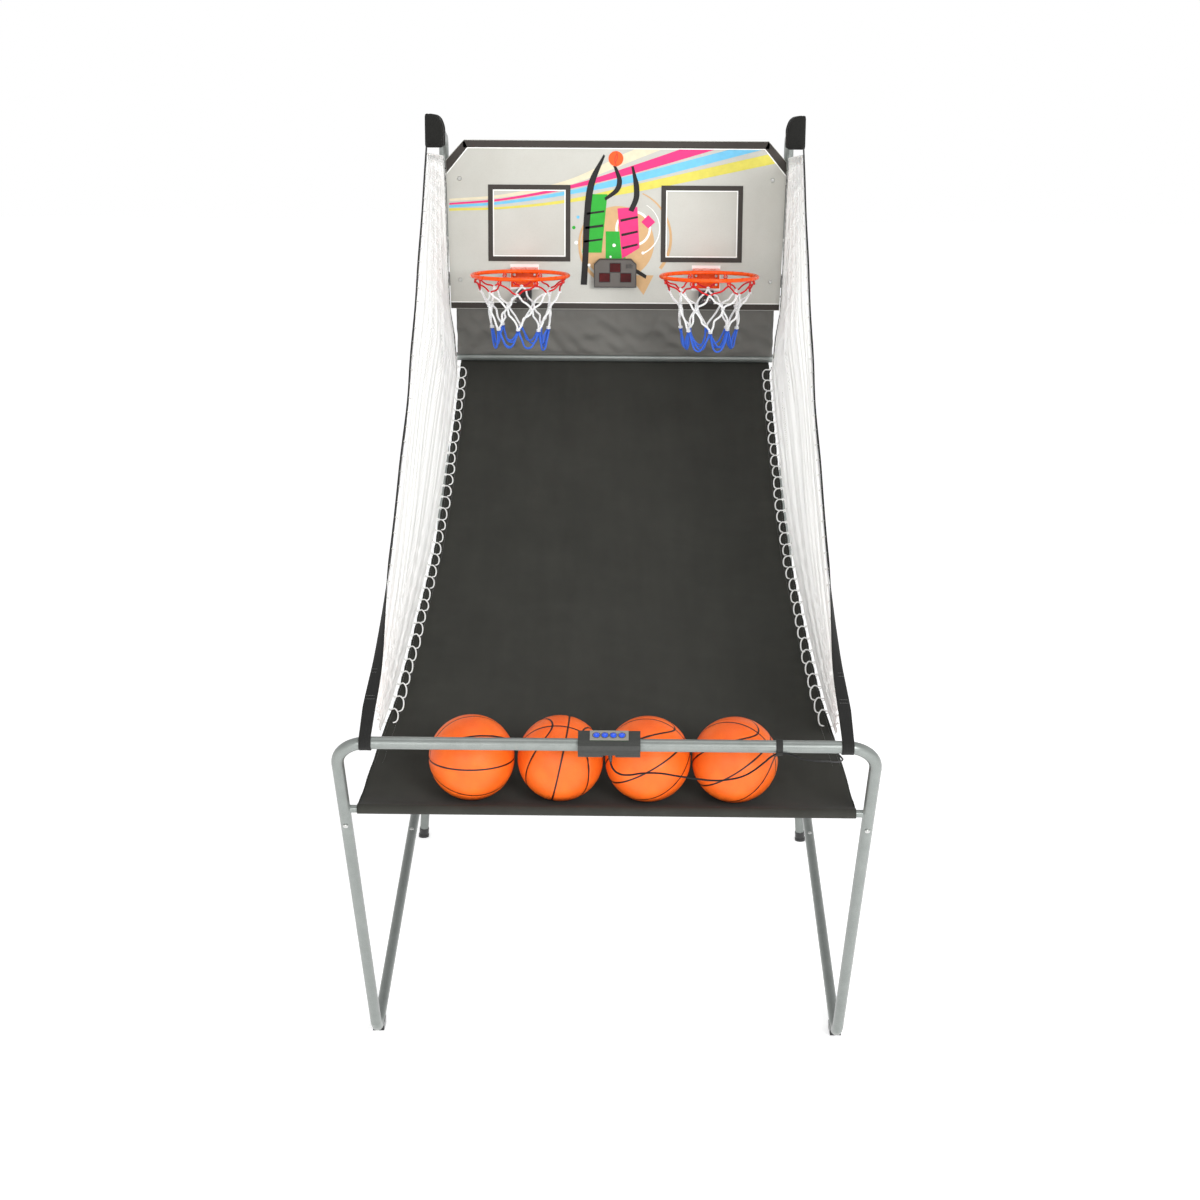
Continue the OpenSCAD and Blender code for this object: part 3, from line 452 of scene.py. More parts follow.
def build_materials():
    M = {}
    # satin silver powder coat on the tubes, with fine speckle and faint handling marks
    s = Shader("tube_silver", Metallic=0.5, Coat_Weight=0.15, Coat_Roughness=0.2)
    n = s.noise(22, 6, 0.6)
    c = s.ramp(n, [(0.25, lin(118, 123, 120)), (0.75, lin(133, 138, 135))])
    c = s.mix(s.ramp(s.noise(1300, 2), [(0.45, (0, 0, 0)), (0.7, (0.35,) * 3)]), c, lin(166, 170, 167))
    s.color(c)
    s.rough(s.remap(s.noise(120, 5), 0.26, 0.40))
    s.bump(s.noise(900, 3), 0.12, 0.0002)
    M["silver_tube"] = s.m
    M["zinc_steel"] = metal("zinc_steel", lin(205, 206, 204), 0.28, spots=lin(150, 150, 148))
    M["black_plastic"] = plastic("black_plastic", lin(30, 30, 31), 0.3, var=0.2, Coat_Weight=0.3)
    M["dark_plastic"] = plastic("dark_plastic", lin(46, 45, 45), 0.5, var=0.15)
    s = Shader("board_face", Coat_Weight=0.03, Coat_Roughness=0.3, Specular_IOR_Level=0.3)
    n = s.noise(5, 6, 0.6)
    c = s.ramp(n, [(0.3, lin(189, 188, 180)), (0.7, lin(198, 198, 191))])
    c = s.mix(s.ramp(s.noise(600, 2), [(0.5, (0, 0, 0)), (0.75, (0.3,) * 3)]), c, lin(172, 170, 162))
    s.color(c)
    s.rough(s.remap(s.noise(40, 4), 0.52, 0.66))
    s.bump(s.noise(500, 3), 0.08, 0.0003)
    M["board"] = s.m
    s = Shader("rim_orange", Coat_Weight=0.1, Coat_Roughness=0.15, Specular_IOR_Level=0.25)
    c = s.ramp(s.noise(16, 5), [(0.3, lin(243, 74, 4)), (0.7, lin(252, 88, 8))])
    s.color(c)
    s.rough(s.remap(s.noise(90, 4), 0.22, 0.34))
    s.bump(s.noise(420, 2), 0.1, 0.0003)
    M["orange_paint"] = s.m
    M["white_paint"] = plastic("white_paint", lin(240, 240, 238), 0.35, var=0.03, Coat_Weight=0.2)
    M["grey_plastic"] = plastic("grey_plastic", lin(84, 79, 74), 0.55, var=0.06)
    s = Shader("red_lens", Coat_Weight=0.08, Coat_Roughness=0.12, Specular_IOR_Level=0.2)
    c = s.ramp(s.noise(30, 4), [(0.3, lin(54, 10, 12)), (0.7, lin(82, 16, 18))])
    s.color(c)
    s.rough(s.remap(s.noise(120, 3), 0.12, 0.25))
    s.bump(s.noise(500, 2), 0.03, 0.0002)
    M["red_lens"] = s.m
    M["circuit"] = plastic("circuit", lin(28, 92, 52), 0.4, var=0.2)
    M["speaker"] = plastic("speaker", lin(60, 60, 62), 0.55, var=0.15)
    M["battery"] = plastic("battery", lin(40, 70, 110), 0.35, var=0.1)
    s = Shader("control_grey")
    c = s.ramp(s.noise(300, 4, 0.7), [(0.3, lin(28, 29, 27)), (0.7, lin(42, 44, 40))])
    s.color(c)
    s.rough(s.remap(s.noise(60, 4), 0.42, 0.58))
    s.bump(s.voronoi(900), 0.35, 0.0003)
    M["control_plastic"] = s.m
    M["panel_plastic"] = plastic("panel_beige", lin(128, 125, 118), 0.5, var=0.05)
    M["blue_button"] = plastic("blue_button", lin(28, 76, 205), 0.16, var=0.12, bump=0.03, Coat_Weight=0.7)
    M["red_switch"] = plastic("red_switch", lin(190, 34, 28), 0.3, var=0.1)
    M["lead"] = plastic("lead", lin(15, 14, 15), 0.55, var=0.15, grain=2500, Specular_IOR_Level=0.2)
    M["tie"] = weave("tie", lin(20, 20, 20), lin(44, 44, 43), 0.0010)
    # the ramp cloth has an even colour; its strong blotches and its streaks are painted shade of wrinkles
    M["black_cloth"] = weave("black_cloth", lin(36, 36, 33), lin(65, 65, 60), 0.0017, rough=0.84, blotch_and_fold_shade=0.26, painted_fold_streaks=0.14)
    M["grey_cloth"] = weave("grey_cloth", lin(92, 91, 88), lin(126, 125, 120), 0.0013, blotch_and_fold_shade=0.16)
    M["black_cloth_fine"] = weave("black_cloth_fine", lin(20, 20, 19), lin(40, 40, 38), 0.0011)
    M["hem_cloth"] = weave("hem_cloth", lin(26, 26, 25), lin(44, 44, 41), 0.0013)
    M["hem_grey"] = weave("hem_grey", lin(66, 65, 62), lin(94, 93, 89), 0.0013)
    # the white side nets glow with painted light, so they look brighter than the lamps make them
    M["white_net"] = twisted("white_net", lin(254, 254, 252), lin(240, 240, 237), 450, 0.85, bump=0.3, painted_glow=0.10)
    M["net_white"] = twisted("net_white", lin(250, 250, 250), lin(196, 198, 200), 190, 0.75)
    M["net_red"] = twisted("net_red", lin(222, 26, 34), lin(150, 12, 20), 190, 0.75)
    M["net_blue"] = twisted("net_blue", lin(62, 112, 222), lin(34, 70, 176), 190, 0.75)
    M["lacing"] = twisted("lacing", lin(248, 248, 246), lin(190, 190, 186), 260, 0.75)
    M["black_webbing"] = webbing("black_webbing", lin(10, 10, 10), lin(34, 34, 33))
    M["thread"] = twisted("thread", lin(120, 120, 118), lin(60, 60, 60), 900, 0.8)
    M["net_cord"] = M["net_white"]
    M["ball_rubber"] = None
    return M


M = build_materials()


def ball_material(name, col, low):
    s = Shader(name, Coat_Weight=0.12, Coat_Roughness=0.4, Specular_IOR_Level=0.3)
    n = s.t.nodes.new("ShaderNodeAttribute")
    n.attribute_name = "seam"
    seam = n.outputs["Fac"]
    peb = s.voronoi(520)
    c = s.ramp(s.noise(16, 5), [(0.3, low), (0.7, col)])
    c = s.mix(s.ramp(peb, [(0.0, (0.0,) * 3), (0.7, (0.32,) * 3)]), c, tint(low, 0.72))
    c = s.mix(s.ramp(seam, [(0.16, (0, 0, 0)), (0.34, (1, 1, 1))]), c, lin(38, 14, 12))
    s.color(c)
    s.rough(s.remap(s.noise(50, 4), 0.42, 0.56))
    s.bump(s.math("SUBTRACT", 1.0, peb), 0.32, 0.0007)
    return s.m


def paint_nodes():
    for sub in frame["record"]["subparts"]:
        o = frame["nodes"].get(sub["node"])
        mat = M.get(sub["material_slot"])
        if o is None or mat is None:
            continue
        if not o.material_slots:
            continue
        for s in o.material_slots:
            s.material = mat


paint_nodes()


# ------------------------------------------------------------------ where things are (metres)
HALF = [(0, 506), (120, 506), (185, 508), (260, 501), (317, 494), (398, 485), (512, 469), (680, 455),
        (852, 443), (1032, 430), (1216, 423), (1602, 417), (1810, 416)]
RA, RB = np.array([260.0, 738.0]), np.array([1790.3, 1419.0])


def half(y):
    return interp(y, HALF)


def ramp_mid(t):
    t = np.asarray(t, float)
    return np.stack([RA[0] + (RB[0] - RA[0]) * t, RA[1] + (RB[1] - RA[1]) * t - 140 * t * (1 - t)], -1)


def ramp_z(y):
    return ramp_mid((np.asarray(y, float) - RA[0]) / (RB[0] - RA[0]))[..., 1]


def ramp_sag(y):
    return interp(y, [(240, 0), (420, 10), (900, 30), (1400, 16), (1780, 0)])


def mm(x, y, z):
    return np.array([x / 1000, Y0 + y / 1000, z / 1000])


def side(s, p):
    p = np.array(p, float)
    p[..., 0] *= s
    return p


FOOT, KNEE, CROWN = mm(551, 1940, 0), mm(466, 1800, 1100), mm(453.5, 1758, 2005)


def at_up(z):
    t = (z / 1000 - KNEE[2]) / (CROWN[2] - KNEE[2])
    return KNEE + (CROWN - KNEE) * t


STRAP = [(0, 478), (37, 471.5), (72, 465.5), (100, 462), (162, 459), (254, 456.5), (350, 453.5), (448, 451.5), (551, 448),
         (656, 446), (811, 447), (999, 449), (1122, 451), (1262, 454)]


def strap_at(y):
    return mm(interp(y, STRAP), y, 906 + 0.866 * y)


def edge_at(y):
    return mm(half(y) + 6, y, ramp_z(y) + 6)


def waves(x, y, seed, n=14, lo=3.0, hi=18.0, stretch=1.0, turn=0.0):
    """A smooth bumpy field from about -1 to 1; lo and hi are in waves a metre."""
    g = np.random.default_rng(seed)
    out = np.zeros_like(x, dtype=float)
    total = 0.0
    for _ in range(n):
        k = g.uniform(lo, hi)
        a = g.normal(turn, 0.5 / stretch)
        w = 1 / k ** 0.7
        out += w * np.sin(2 * np.pi * k * (x * math.cos(a) + y * math.sin(a)) + g.uniform(0, 6.28))
        total += w * w
    return out / math.sqrt(total)


# ------------------------------------------------------------------ cloth simulation
def drape(ob, pins, frames=24, gravity=1.0, grow=0.0, tension=40.0, bending=1.5, cap=0.01, quality=7,
          soften=None):
    """Runs Blender's cloth on ob with some vertices held, then keeps its shape. pins is {vertex: weight}."""
    me = ob.data
    n = len(me.vertices)
    before = np.zeros(n * 3)
    me.vertices.foreach_get("co", before)
    vg = ob.vertex_groups.new(name="held")
    for i, w in pins.items():
        vg.add([int(i)], float(w), "REPLACE")
    mod = ob.modifiers.new("cloth", "CLOTH")
    c = mod.settings
    c.quality = quality
    c.mass = 0.25
    c.air_damping = 3.0
    c.tension_stiffness = c.compression_stiffness = tension
    c.shear_stiffness = tension / 2
    c.bending_stiffness = bending
    c.tension_damping = c.compression_damping = 15
    c.shear_damping = 15
    c.vertex_group_mass = "held"
    c.pin_stiffness = 1.0
    c.shrink_min = -grow
    c.effector_weights.gravity = gravity
    mod.collision_settings.use_collision = False
    mod.collision_settings.use_self_collision = False
    mod.point_cache.frame_start = 1
    mod.point_cache.frame_end = frames
    for f in range(1, frames + 1):
        SC.frame_set(f)
    dg = bpy.context.evaluated_depsgraph_get()
    ev = ob.evaluated_get(dg)
    after = np.zeros(n * 3)
    ev.data.vertices.foreach_get("co", after)
    ob.modifiers.remove(mod)
    ob.vertex_groups.clear()
    SC.frame_set(1)
    d = (after - before).reshape(-1, 3)
    if not np.isfinite(d).all():
        return
    if soften:
        rows, cols, times = soften
        g = d.reshape(rows, cols, 3)
        for _ in range(times):
            g[1:-1] = (g[:-2] + 2 * g[1:-1] + g[2:]) / 4
        for _ in range(3):
            g[:, 1:-1] = (g[:, :-2] + 2 * g[:, 1:-1] + g[:, 2:]) / 4
        d = g.reshape(-1, 3)
    size = np.linalg.norm(d, axis=1)
    k = np.where(size > cap, cap / np.maximum(size, 1e-9), 1.0)
    me.vertices.foreach_set("co", (before.reshape(-1, 3) + d * k[:, None]).ravel())
    me.update()


def coords_of(ob, m, n):
    a = np.zeros(m * n * 3)
    ob.data.vertices.foreach_get("co", a)
    return a.reshape(m, n, 3)


# ------------------------------------------------------------------ lead: from the control unit to the score unit
def make_lead():
    pts = [(8, -8, 876), (9, -11, 862), (14, -17, 849), (26, -21, 840), (44, -22, 838), (70, -21, 841.3),
           (105, -20, 841.4), (140, -20, 836), (175, -20, 831.2), (210, -20, 827.7), (242, -20, 830.2), (270, -20, 838),
           (290, -20, 850), (308, -17.2, 864), (326, -12.5, 877.5), (338, -10.8, 881.4), (350, -10, 881),
           (366, -0.5, 874), (384, 18, 862), (416, 68, 841.5), (446, 132, 820.5), (470, 204, 796), (488, 276, 775),
           (497.5, 326, 763), (498.5, 356, 756.8), (484, 412, 763), (464, 486, 796), (437, 840, 930),
           (413, 1140, 1075), (402, 1440, 1226), (399, 1680, 1349),
           (416, 1768, 1392), (440, 1801, 1430), (455, 1799, 1478), (459.6, 1796, 1545), (440, 1799, 1598),
           (350, 1803, 1587), (220, 1799, 1568), (120, 1789, 1598), (74, 1773, 1640), (56.5, 1768, 1650)]
    cu = bpy.data.curves.new("lead", "CURVE")
    cu.dimensions = "3D"
    sp = cu.splines.new("BEZIER")
    sp.bezier_points.add(len(pts) - 1)
    for b, p in zip(sp.bezier_points, pts):
        b.co = mm(*p)
        b.handle_left_type = b.handle_right_type = "AUTO"
    sp.resolution_u = 8
    cu.bevel_depth = 0.0019
    cu.bevel_resolution = 3
    cu.use_fill_caps = True
    cu.materials.append(M["lead"])
    ob = bpy.data.objects.new("lead", cu)
    SC.collection.objects.link(ob)
    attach(ob, "frame")
    bpy.context.view_layer.update()
    me = ob.evaluated_get(bpy.context.evaluated_depsgraph_get())
    length = 0.0
    flat = cu.copy()
    flat.bevel_depth = 0
    tmp = bpy.data.objects.new("tmp_line", flat)
    SC.collection.objects.link(tmp)
    bpy.context.view_layer.update()
    m = tmp.to_mesh()
    q = np.array([v.co[:] for v in m.vertices])
    length = float(np.linalg.norm(np.diff(q, axis=0), axis=1).sum())
    tmp.to_mesh_clear()
    bpy.data.objects.remove(tmp)
    # tapered strain reliefs, and loops sewn under the ramp sheet that carry the lead
    b = Bag()
    a, e = mm(8, -8, 877), mm(9.2, -11.4, 861.5)
    line = np.linspace(a, e, 22)
    rad = [0.0052 - 0.0028 * i / 21 + (0.0005 if i % 4 < 2 else -0.0003) for i in range(22)]
    b.tube(line, rad, 16)
    a, e = mm(54.5, 1768, 1650), mm(70, 1771.6, 1641.6)
    line = np.linspace(a, e, 22)
    b.tube(line, rad, 16)
    reliefs = b.make("lead_reliefs", M["black_plastic"], slot="black_plastic")
    b = Bag()
    for y in (560, 760, 960, 1160, 1360, 1560):
        i = int(np.argmin(np.abs(q[:, 1] - (Y0 + y / 1000)) + 10 * (q[:, 0] < 0.38)))
        c = q[i]
        d = unit(q[i + 1] - q[i - 1])
        w = unit(np.cross(d, [1, 0, 0]))
        ring = []
        for k in range(24):
            g = 2 * math.pi * k / 24
            ring.append(c + np.array([1, 0, 0]) * 0.0034 * math.cos(g) + w * (0.0026 * math.sin(g) + (0.0038 if math.sin(g) * w[2] > 0.3 else 0)))
        b.tube(ring, 0.0008, 6, closed=True)
    loops = b.make("lead_loops", M["black_webbing"], slot="black_webbing")
    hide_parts("control_cable")
    return ob, length


lead, lead_length = make_lead()


# ------------------------------------------------------------------ ramp sheet
def ramp_path():
    p = [(120 + 9.6 * math.cos(math.radians(a)), 714 + 9.6 * math.sin(math.radians(a))) for a in range(-20, -271, -10)]
    p += [(135, 720.5), (150, 717), (168, 715.6), (185, 715.3), (203, 717.2), (220, 721), (240, 728.5)]
    p += [tuple(ramp_mid(i / 20)) for i in range(21)]
    p += [(1784.7 + 12.4 * math.cos(math.radians(a)), 1430 + 12.4 * math.sin(math.radians(a))) for a in range(-40, 81, 12)]
    return np.array(p)


HOOKS = [1740 - 42.6 * i for i in range(31)]


def make_ramp():
    path = ramp_path()
    wrap = path[:26]
    mid = resample(path[25:54], 132)
    top = path[53:]
    rows = np.vstack([wrap, mid[1:], top[1:]])
    m, n = len(rows), 61
    u = np.linspace(-1, 1, n)
    u = np.sign(u) * np.abs(u) ** 0.92
    g = np.zeros((m, n, 3))
    for i, (y, z) in enumerate(rows):
        h = half(y)
        live = 1.0 if i >= 26 and 300 < y < 1760 else 0.0
        near = min(21.3, min(abs(y - k) for k in HOOKS)) if live and y > 480 else 0
        h2 = h - live * 2.6 * (near / 21.3) ** 1.3
        g[i, :, 0] = u * h2
        g[i, :, 1] = y
        g[i, :, 2] = z - ramp_sag(y) * (1 - u * u) * (1 if i >= 26 else 0)
    x, y = g[..., 0] / 1000, g[..., 1] / 1000
    body = np.zeros((m, n))
    body[26:] = np.clip((rows[26:, 1] - 715) / 40, 0, 1)[:, None] * np.clip((1780 - rows[26:, 0]) / 60, 0, 1)[:, None]
    edge = np.exp(-(1 - np.abs(u))[None, :] * 500 / 42)
    z = 3.0 * waves(x, y, 5, 10, 1.5, 6, 1.3) * (1 - edge * 0.6)
    z += 1.1 * waves(x, y, 6, 16, 8, 24, 1.0, 0.4) * (1 - edge * 0.4)
    low = np.exp(-((g[..., 1] - 330) / 170) ** 2)
    z += 1.6 * low * waves(x, y, 9, 14, 10, 30, 0.8, 1.2)
    ph = np.cos(2 * np.pi * (g[..., 1] - 1740) / 42.6)
    fade = np.exp(-(1 - np.abs(u))[None, :] * 500 / 60)
    z += 1.9 * ph * fade * ((g[..., 1] > 470) & (g[..., 1] < 1750))
    # cloth drawn in pleats where it runs over the front tube
    front = np.zeros((m, n))
    front[26:] = np.exp(-((rows[26:, 0] - 250) / 90) ** 2)[:, None]
    z += 0.8 * front * np.sin(g[..., 0] / 17 + 2 * np.sin(g[..., 0] / 90))
    g[..., 2] += z * body
    w = g / 1000
    w[..., 1] += Y0
    b = Bag()
    b.grid(w)
    ob = b.make("ramp_sheet", M["black_cloth"], body=None, slot="black_cloth")
    pins = {}
    for i in range(m):
        for j in range(n):
            k = 0.0
            if i < 30 or rows[i][0] < 262 or rows[i][0] > 1770:
                k = 1.0
            elif j in (0, n - 1):
                near = min(abs(rows[i][0] - q) for q in HOOKS)
                k = 1.0 if near < 8 else 0.85
            elif j in (1, n - 2):
                k = 0.5
            if k:
                pins[i * n + j] = k
    w = coords_of(ob, m, n)
    sub = ob.modifiers.new("finer", "SUBSURF")
    sub.levels = sub.render_levels = 1
    so = ob.modifiers.new("thickness", "SOLIDIFY")
    so.thickness = 0.0012
    so.offset = 0
    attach(ob, "frame")
    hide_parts("ramp_fabric")
    return ob, w, rows


ramp, RG, ramp_rows = make_ramp()


def ramp_at(x, y):
    """Height of the ramp sheet over (x, y), in metres, from the sheet's grid."""
    rows = RG[28:-8]
    ys = rows[:, 30, 1]
    i = int(np.clip(np.searchsorted(ys, y) - 1, 0, len(ys) - 2))
    f = np.clip((y - ys[i]) / max(ys[i + 1] - ys[i], 1e-9), 0, 1)
    za = np.interp(x, rows[i][:, 0], rows[i][:, 2])
    zb = np.interp(x, rows[i + 1][:, 0], rows[i + 1][:, 2])
    return za * (1 - f) + zb * f


def lifted(rows, off):
    """A grid pushed off along its own normals."""
    g = np.asarray(rows, float)
    du = np.gradient(g, axis=1)
    dv = np.gradient(g, axis=0)
    n = np.cross(du, dv)
    n /= np.maximum(np.linalg.norm(n, axis=2), 1e-12)[..., None]
    return g + n * off


def make_ramp_trim():
    b = Bag()
    first = 27
    last = len(RG) - 12
    for s in (0, 1):
        rows = []
        for i in range(first, last):
            r = RG[i] if s else RG[i][::-1]
            x = np.abs(r[:, 0])
            e = x.max()
            line = []
            for d in (0.024, 0.021, 0.014, 0.007, 0.001, -0.0009):
                t = e - d
                k = np.interp(min(t, e), x, np.arange(len(x))) if x[0] < x[-1] else 0
                a = int(np.clip(k, 0, len(x) - 2))
                p = r[a] + (r[a + 1] - r[a]) * (k - a)
                p = p.copy()
                p[2] += {0.024: 0.0007, 0.021: 0.0017, 0.014: 0.0019, 0.007: 0.0019, 0.001: 0.0014, -0.0009: -0.0002}[d]
                if d < 0:
                    p[0] += np.sign(p[0]) * 0.0009
                line.append(p)
            rows.append(line if s else line)
        g = np.array(rows)
        if not s:
            g = g[:, ::-1]
        b.grid(g)
    ob = b.make("ramp_hems", M["hem_cloth"], slot="black_cloth")
    # stitching along both sides of each hem
    t = Bag()
    for s in (-1, 1):
        for d in (0.0045, 0.0205):
            ys = np.arange(Y0 + 0.30, Y0 + 1.755, 0.0062)
            for y in ys:
                pts = []
                for q in (0, 0.0038):
                    yy = y + q
                    x = half((yy - Y0) * 1000) / 1000 - 0.0012 - d
                    pts.append([s * x, yy, ramp_at(s * x, yy) + 0.0024])
                pts = np.array(pts)
                c = pts.mean(0) + [0, 0, 0.0002]
                t.tube([pts[0], c, pts[1]], 0.00035, 4)
    st = t.make("ramp_stitching", M["thread"], slot="lacing")
    return [ob, st]


ramp_trim = make_ramp_trim()


def cloth_area(ob_grid):
    g = ob_grid
    a, b_, c, d = g[:-1, :-1], g[:-1, 1:], g[1:, 1:], g[1:, :-1]
    return float((np.linalg.norm(np.cross(b_ - a, d - a), axis=2).sum() + np.linalg.norm(np.cross(d - c, b_ - c), axis=2).sum()) / 2)


ramp_l = float(np.linalg.norm(np.diff(RG[:, 30], axis=0), axis=1).sum())
round(cloth_area(RG), 4)


# ------------------------------------------------------------------ grey panel under the board
def make_panel():
    line = smooth_line([(y, z) for y, z in [(1745.6, 1606), (1745.6, 1580), (1746, 1558), (1751, 1535), (1757, 1510),
                                            (1763, 1485), (1767, 1462), (1769.5, 1446), (1772, 1437)]], 31)
    m, n = len(line), 121
    x = np.linspace(-424, 424, n)
    g = np.zeros((m, n, 3))
    g[..., 0] = x[None, :]
    g[..., 1] = line[:, 0][:, None]
    g[..., 2] = line[:, 1][:, None]
    v = np.linspace(0, 1, m)[:, None]
    loose = np.clip((v - 0.28) * 3, 0, 1) * np.clip((1 - v) * 7, 0, 1)
    xx, zz = g[..., 0] / 1000, g[..., 2] / 1000
    w = 4.0 * waves(xx, zz, 21, 10, 3.5, 10, 1.0, 0.8) + 4.4 * waves(xx, zz, 22, 12, 8, 20, 1.4, -0.7)
    w += 3.0 * waves(xx, zz, 23, 12, 18, 36, 1.4, 0.8)
    w = 10 * np.tanh(w / 10)
    g[..., 1] += w * loose
    w = g / 1000
    w[..., 1] += Y0
    b = Bag()
    b.grid(w)
    ob = b.make("back_panel_cloth", M["grey_cloth"], body=None, slot="grey_cloth")
    pins = {}
    for i in range(m):
        for j in range(n):
            if i < 9 or i >= m - 2:
                pins[i * n + j] = 1.0
            elif j in (0, n - 1):
                pins[i * n + j] = 0.9
    drape(ob, pins, frames=26, gravity=0.6, grow=0.035, tension=25, bending=0.6, cap=0.003, quality=6)
    w = coords_of(ob, m, n)
    sub = ob.modifiers.new("finer", "SUBSURF")
    sub.levels = sub.render_levels = 1
    so = ob.modifiers.new("thickness", "SOLIDIFY")
    so.thickness = 0.0009
    so.offset = 0
    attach(ob, "frame")
    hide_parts("back_panel")
    b = Bag()
    for s in (0, 1):
        cols = w[:, -5:] if s else w[:, :5]
        b.grid(lifted(cols, 0.0011))
    hem = b.make("back_panel_hems", M["hem_grey"], slot="grey_cloth")
    return ob


panel = make_panel()


# ------------------------------------------------------------------ side nets
NET_A = [strap_at(1256 - 58.2 * i) + np.array([-2.4, 4, -10]) / 1000 for i in range(21)]
NET_B = [mm(*p) for p in [(454, 1736, 1962), (450.5, 1738, 1868), (448, 1738, 1760), (444.5, 1738, 1650),
                          (441, 1740, 1560), (430, 1744, 1490)]] + [edge_at(1735 - 95.3 * i) for i in range(15)]
NA, NB = smooth_line(NET_A, 121), np.vstack([np.array(NET_B)])
NB = np.stack([np.interp(np.linspace(0, 20, 121), np.arange(21), NB[:, k]) for k in range(3)], 1)


def net_point(u, v):
    """u runs down the strap, v from the strap to the post and the ramp's edge."""
    u, v = np.asarray(u, float), np.asarray(v, float)
    k = u * 120
    a = np.stack([np.interp(k, np.arange(121), NA[:, c]) for c in range(3)], -1)
    b = np.stack([np.interp(k, np.arange(121), NB[:, c]) for c in range(3)], -1)
    v2 = v + 0.05 * np.sin(np.pi * v) * np.sin(2 * np.pi * u * 1.5)
    p = a + (b - a) * v2[..., None]
    # slack cloth of cords: it bellies out and hangs in soft folds that run along the strap
    p[..., 0] += (0.006 * np.sin(np.pi * v) * np.sin(np.pi * u)
                  + 0.0022 * np.sin(np.pi * v) ** 0.7 * np.sin(v * 34 + 3 * u) * (0.4 + u)
                  + 0.0015 * np.sin(v * 61 + 9 * u) * np.sin(np.pi * v))
    p[..., 2] -= 0.010 * np.sin(np.pi * v) * np.sin(np.pi * u)
    return p


def make_net(s):
    b = Bag()
    ku = 0.50
    step = 0.0086
    for sign in (1, -1):
        for u0 in np.arange(-ku + step / 2, 1.0 + ku, step):
            lo, hi = 0.0, 1.0
            # u = u0 + sign * ku * v stays in 0..1
            if sign > 0:
                lo, hi = max(lo, (0 - u0) / ku), min(hi, (1 - u0) / ku)
            else:
                lo, hi = max(lo, (u0 - 1) / ku), min(hi, u0 / ku)
            if hi - lo < 0.03:
                continue
            n = max(4, int(26 * (hi - lo)))
            v = np.linspace(lo, hi, n)
            u = np.clip(u0 + sign * ku * v, 0, 1)
            p = net_point(u, v)
            p[:, 0] += 0.0006 * sign * np.cos(np.arange(n) * np.pi)
            b.tube(side(s, p), 0.0012, 3, 0)
    # border cord along the strap, the front end and the ramp's edge
    v = np.linspace(0, 1, 40)
    b.tube(side(s, net_point(np.linspace(0, 1, 120), np.zeros(120))), 0.0019, 6, 0)
    b.tube(side(s, net_point(np.ones(40), v)), 0.0022, 6, 0)
    b.tube(side(s, net_point(np.zeros(40), v)), 0.0019, 6, 0)
    b.tube(side(s, net_point(np.linspace(0, 1, 160), np.ones(160))), 0.0021, 6, 0)
    ob = b.make("side_net_%s_cloth" % ("right" if s > 0 else "left"), M["white_net"], slot="white_net")
    # black tape bound over the rear edge, and stitches that hold the net to the strap
    t = Bag()
    u = np.linspace(0, 5.6 / 20, 60)
    e = net_point(u, np.full(60, 0.985))
    fwd = net_point(u, np.full(60, 0.9)) - e
    t.ribbon(side(s, e), side(s, fwd), 0.013, 0.0026)
    tape = t.make("net_tape_%s" % ("right" if s > 0 else "left"), M["black_webbing"], slot="black_webbing")
    c = Bag()
    for k in np.arange(0.02, 0.99, 0.027):
        p = net_point(np.array([k]), np.array([0.0]))[0]
        q = net_point(np.array([k]), np.array([0.03]))[0]
        d = unit(q - p)
        ring = [p + d * (0.006 * math.cos(a) - 0.004) + np.array([1, 0, 0]) * 0.0036 * math.sin(a)
                for a in np.linspace(0, 2 * math.pi, 14, endpoint=False)]
        c.tube(side(s, np.array(ring)), 0.0011, 5, closed=True)
    whip = c.make("net_whipping_%s" % ("right" if s > 0 else "left"), M["lacing"], slot="lacing")
    # white cord ties round the post
    w = Bag()
    for z in (1924, 1748, 1405):
        o = side(s, at_up(z))
        d = unit(side(s, CROWN - KNEE))
        a1 = unit(np.cross(d, [0, 1, 0]))
        a2 = np.cross(d, a1)
        for turn in range(2):
            ring = [o + d * (0.004 * turn - 0.002 + 0.0008 * math.sin(a)) + (a1 * math.cos(a) + a2 * math.sin(a)) * 0.01445
                    for a in np.linspace(0, 2 * math.pi, 28, endpoint=False)]
            w.tube(ring, 0.0015, 6, closed=True)
        k = o + np.array([0, -0.0165, 0])
        w.ball(k, 0.0036, n=10, m=8)
        for e in (-1, 1):
            tail = smooth_line([k, k + np.array([e * 0.004, -0.006, -0.004]), k + np.array([e * 0.008, -0.007, -0.017]),
                                k + np.array([e * 0.007, -0.006, -0.030])], 12)
            w.tube(tail, 0.0014, 6)
    ties = w.make("net_ties_%s" % ("right" if s > 0 else "left"), M["lacing"], slot="lacing")
    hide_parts("side_net_right" if s > 0 else "side_net_left")
    g = net_point(*np.meshgrid(np.linspace(0, 1, 60), np.linspace(0, 1, 20), indexing="ij"))
    return ob, cloth_area(g), [tape, whip, ties]


for s in (-1, 1):
    make_net(s)


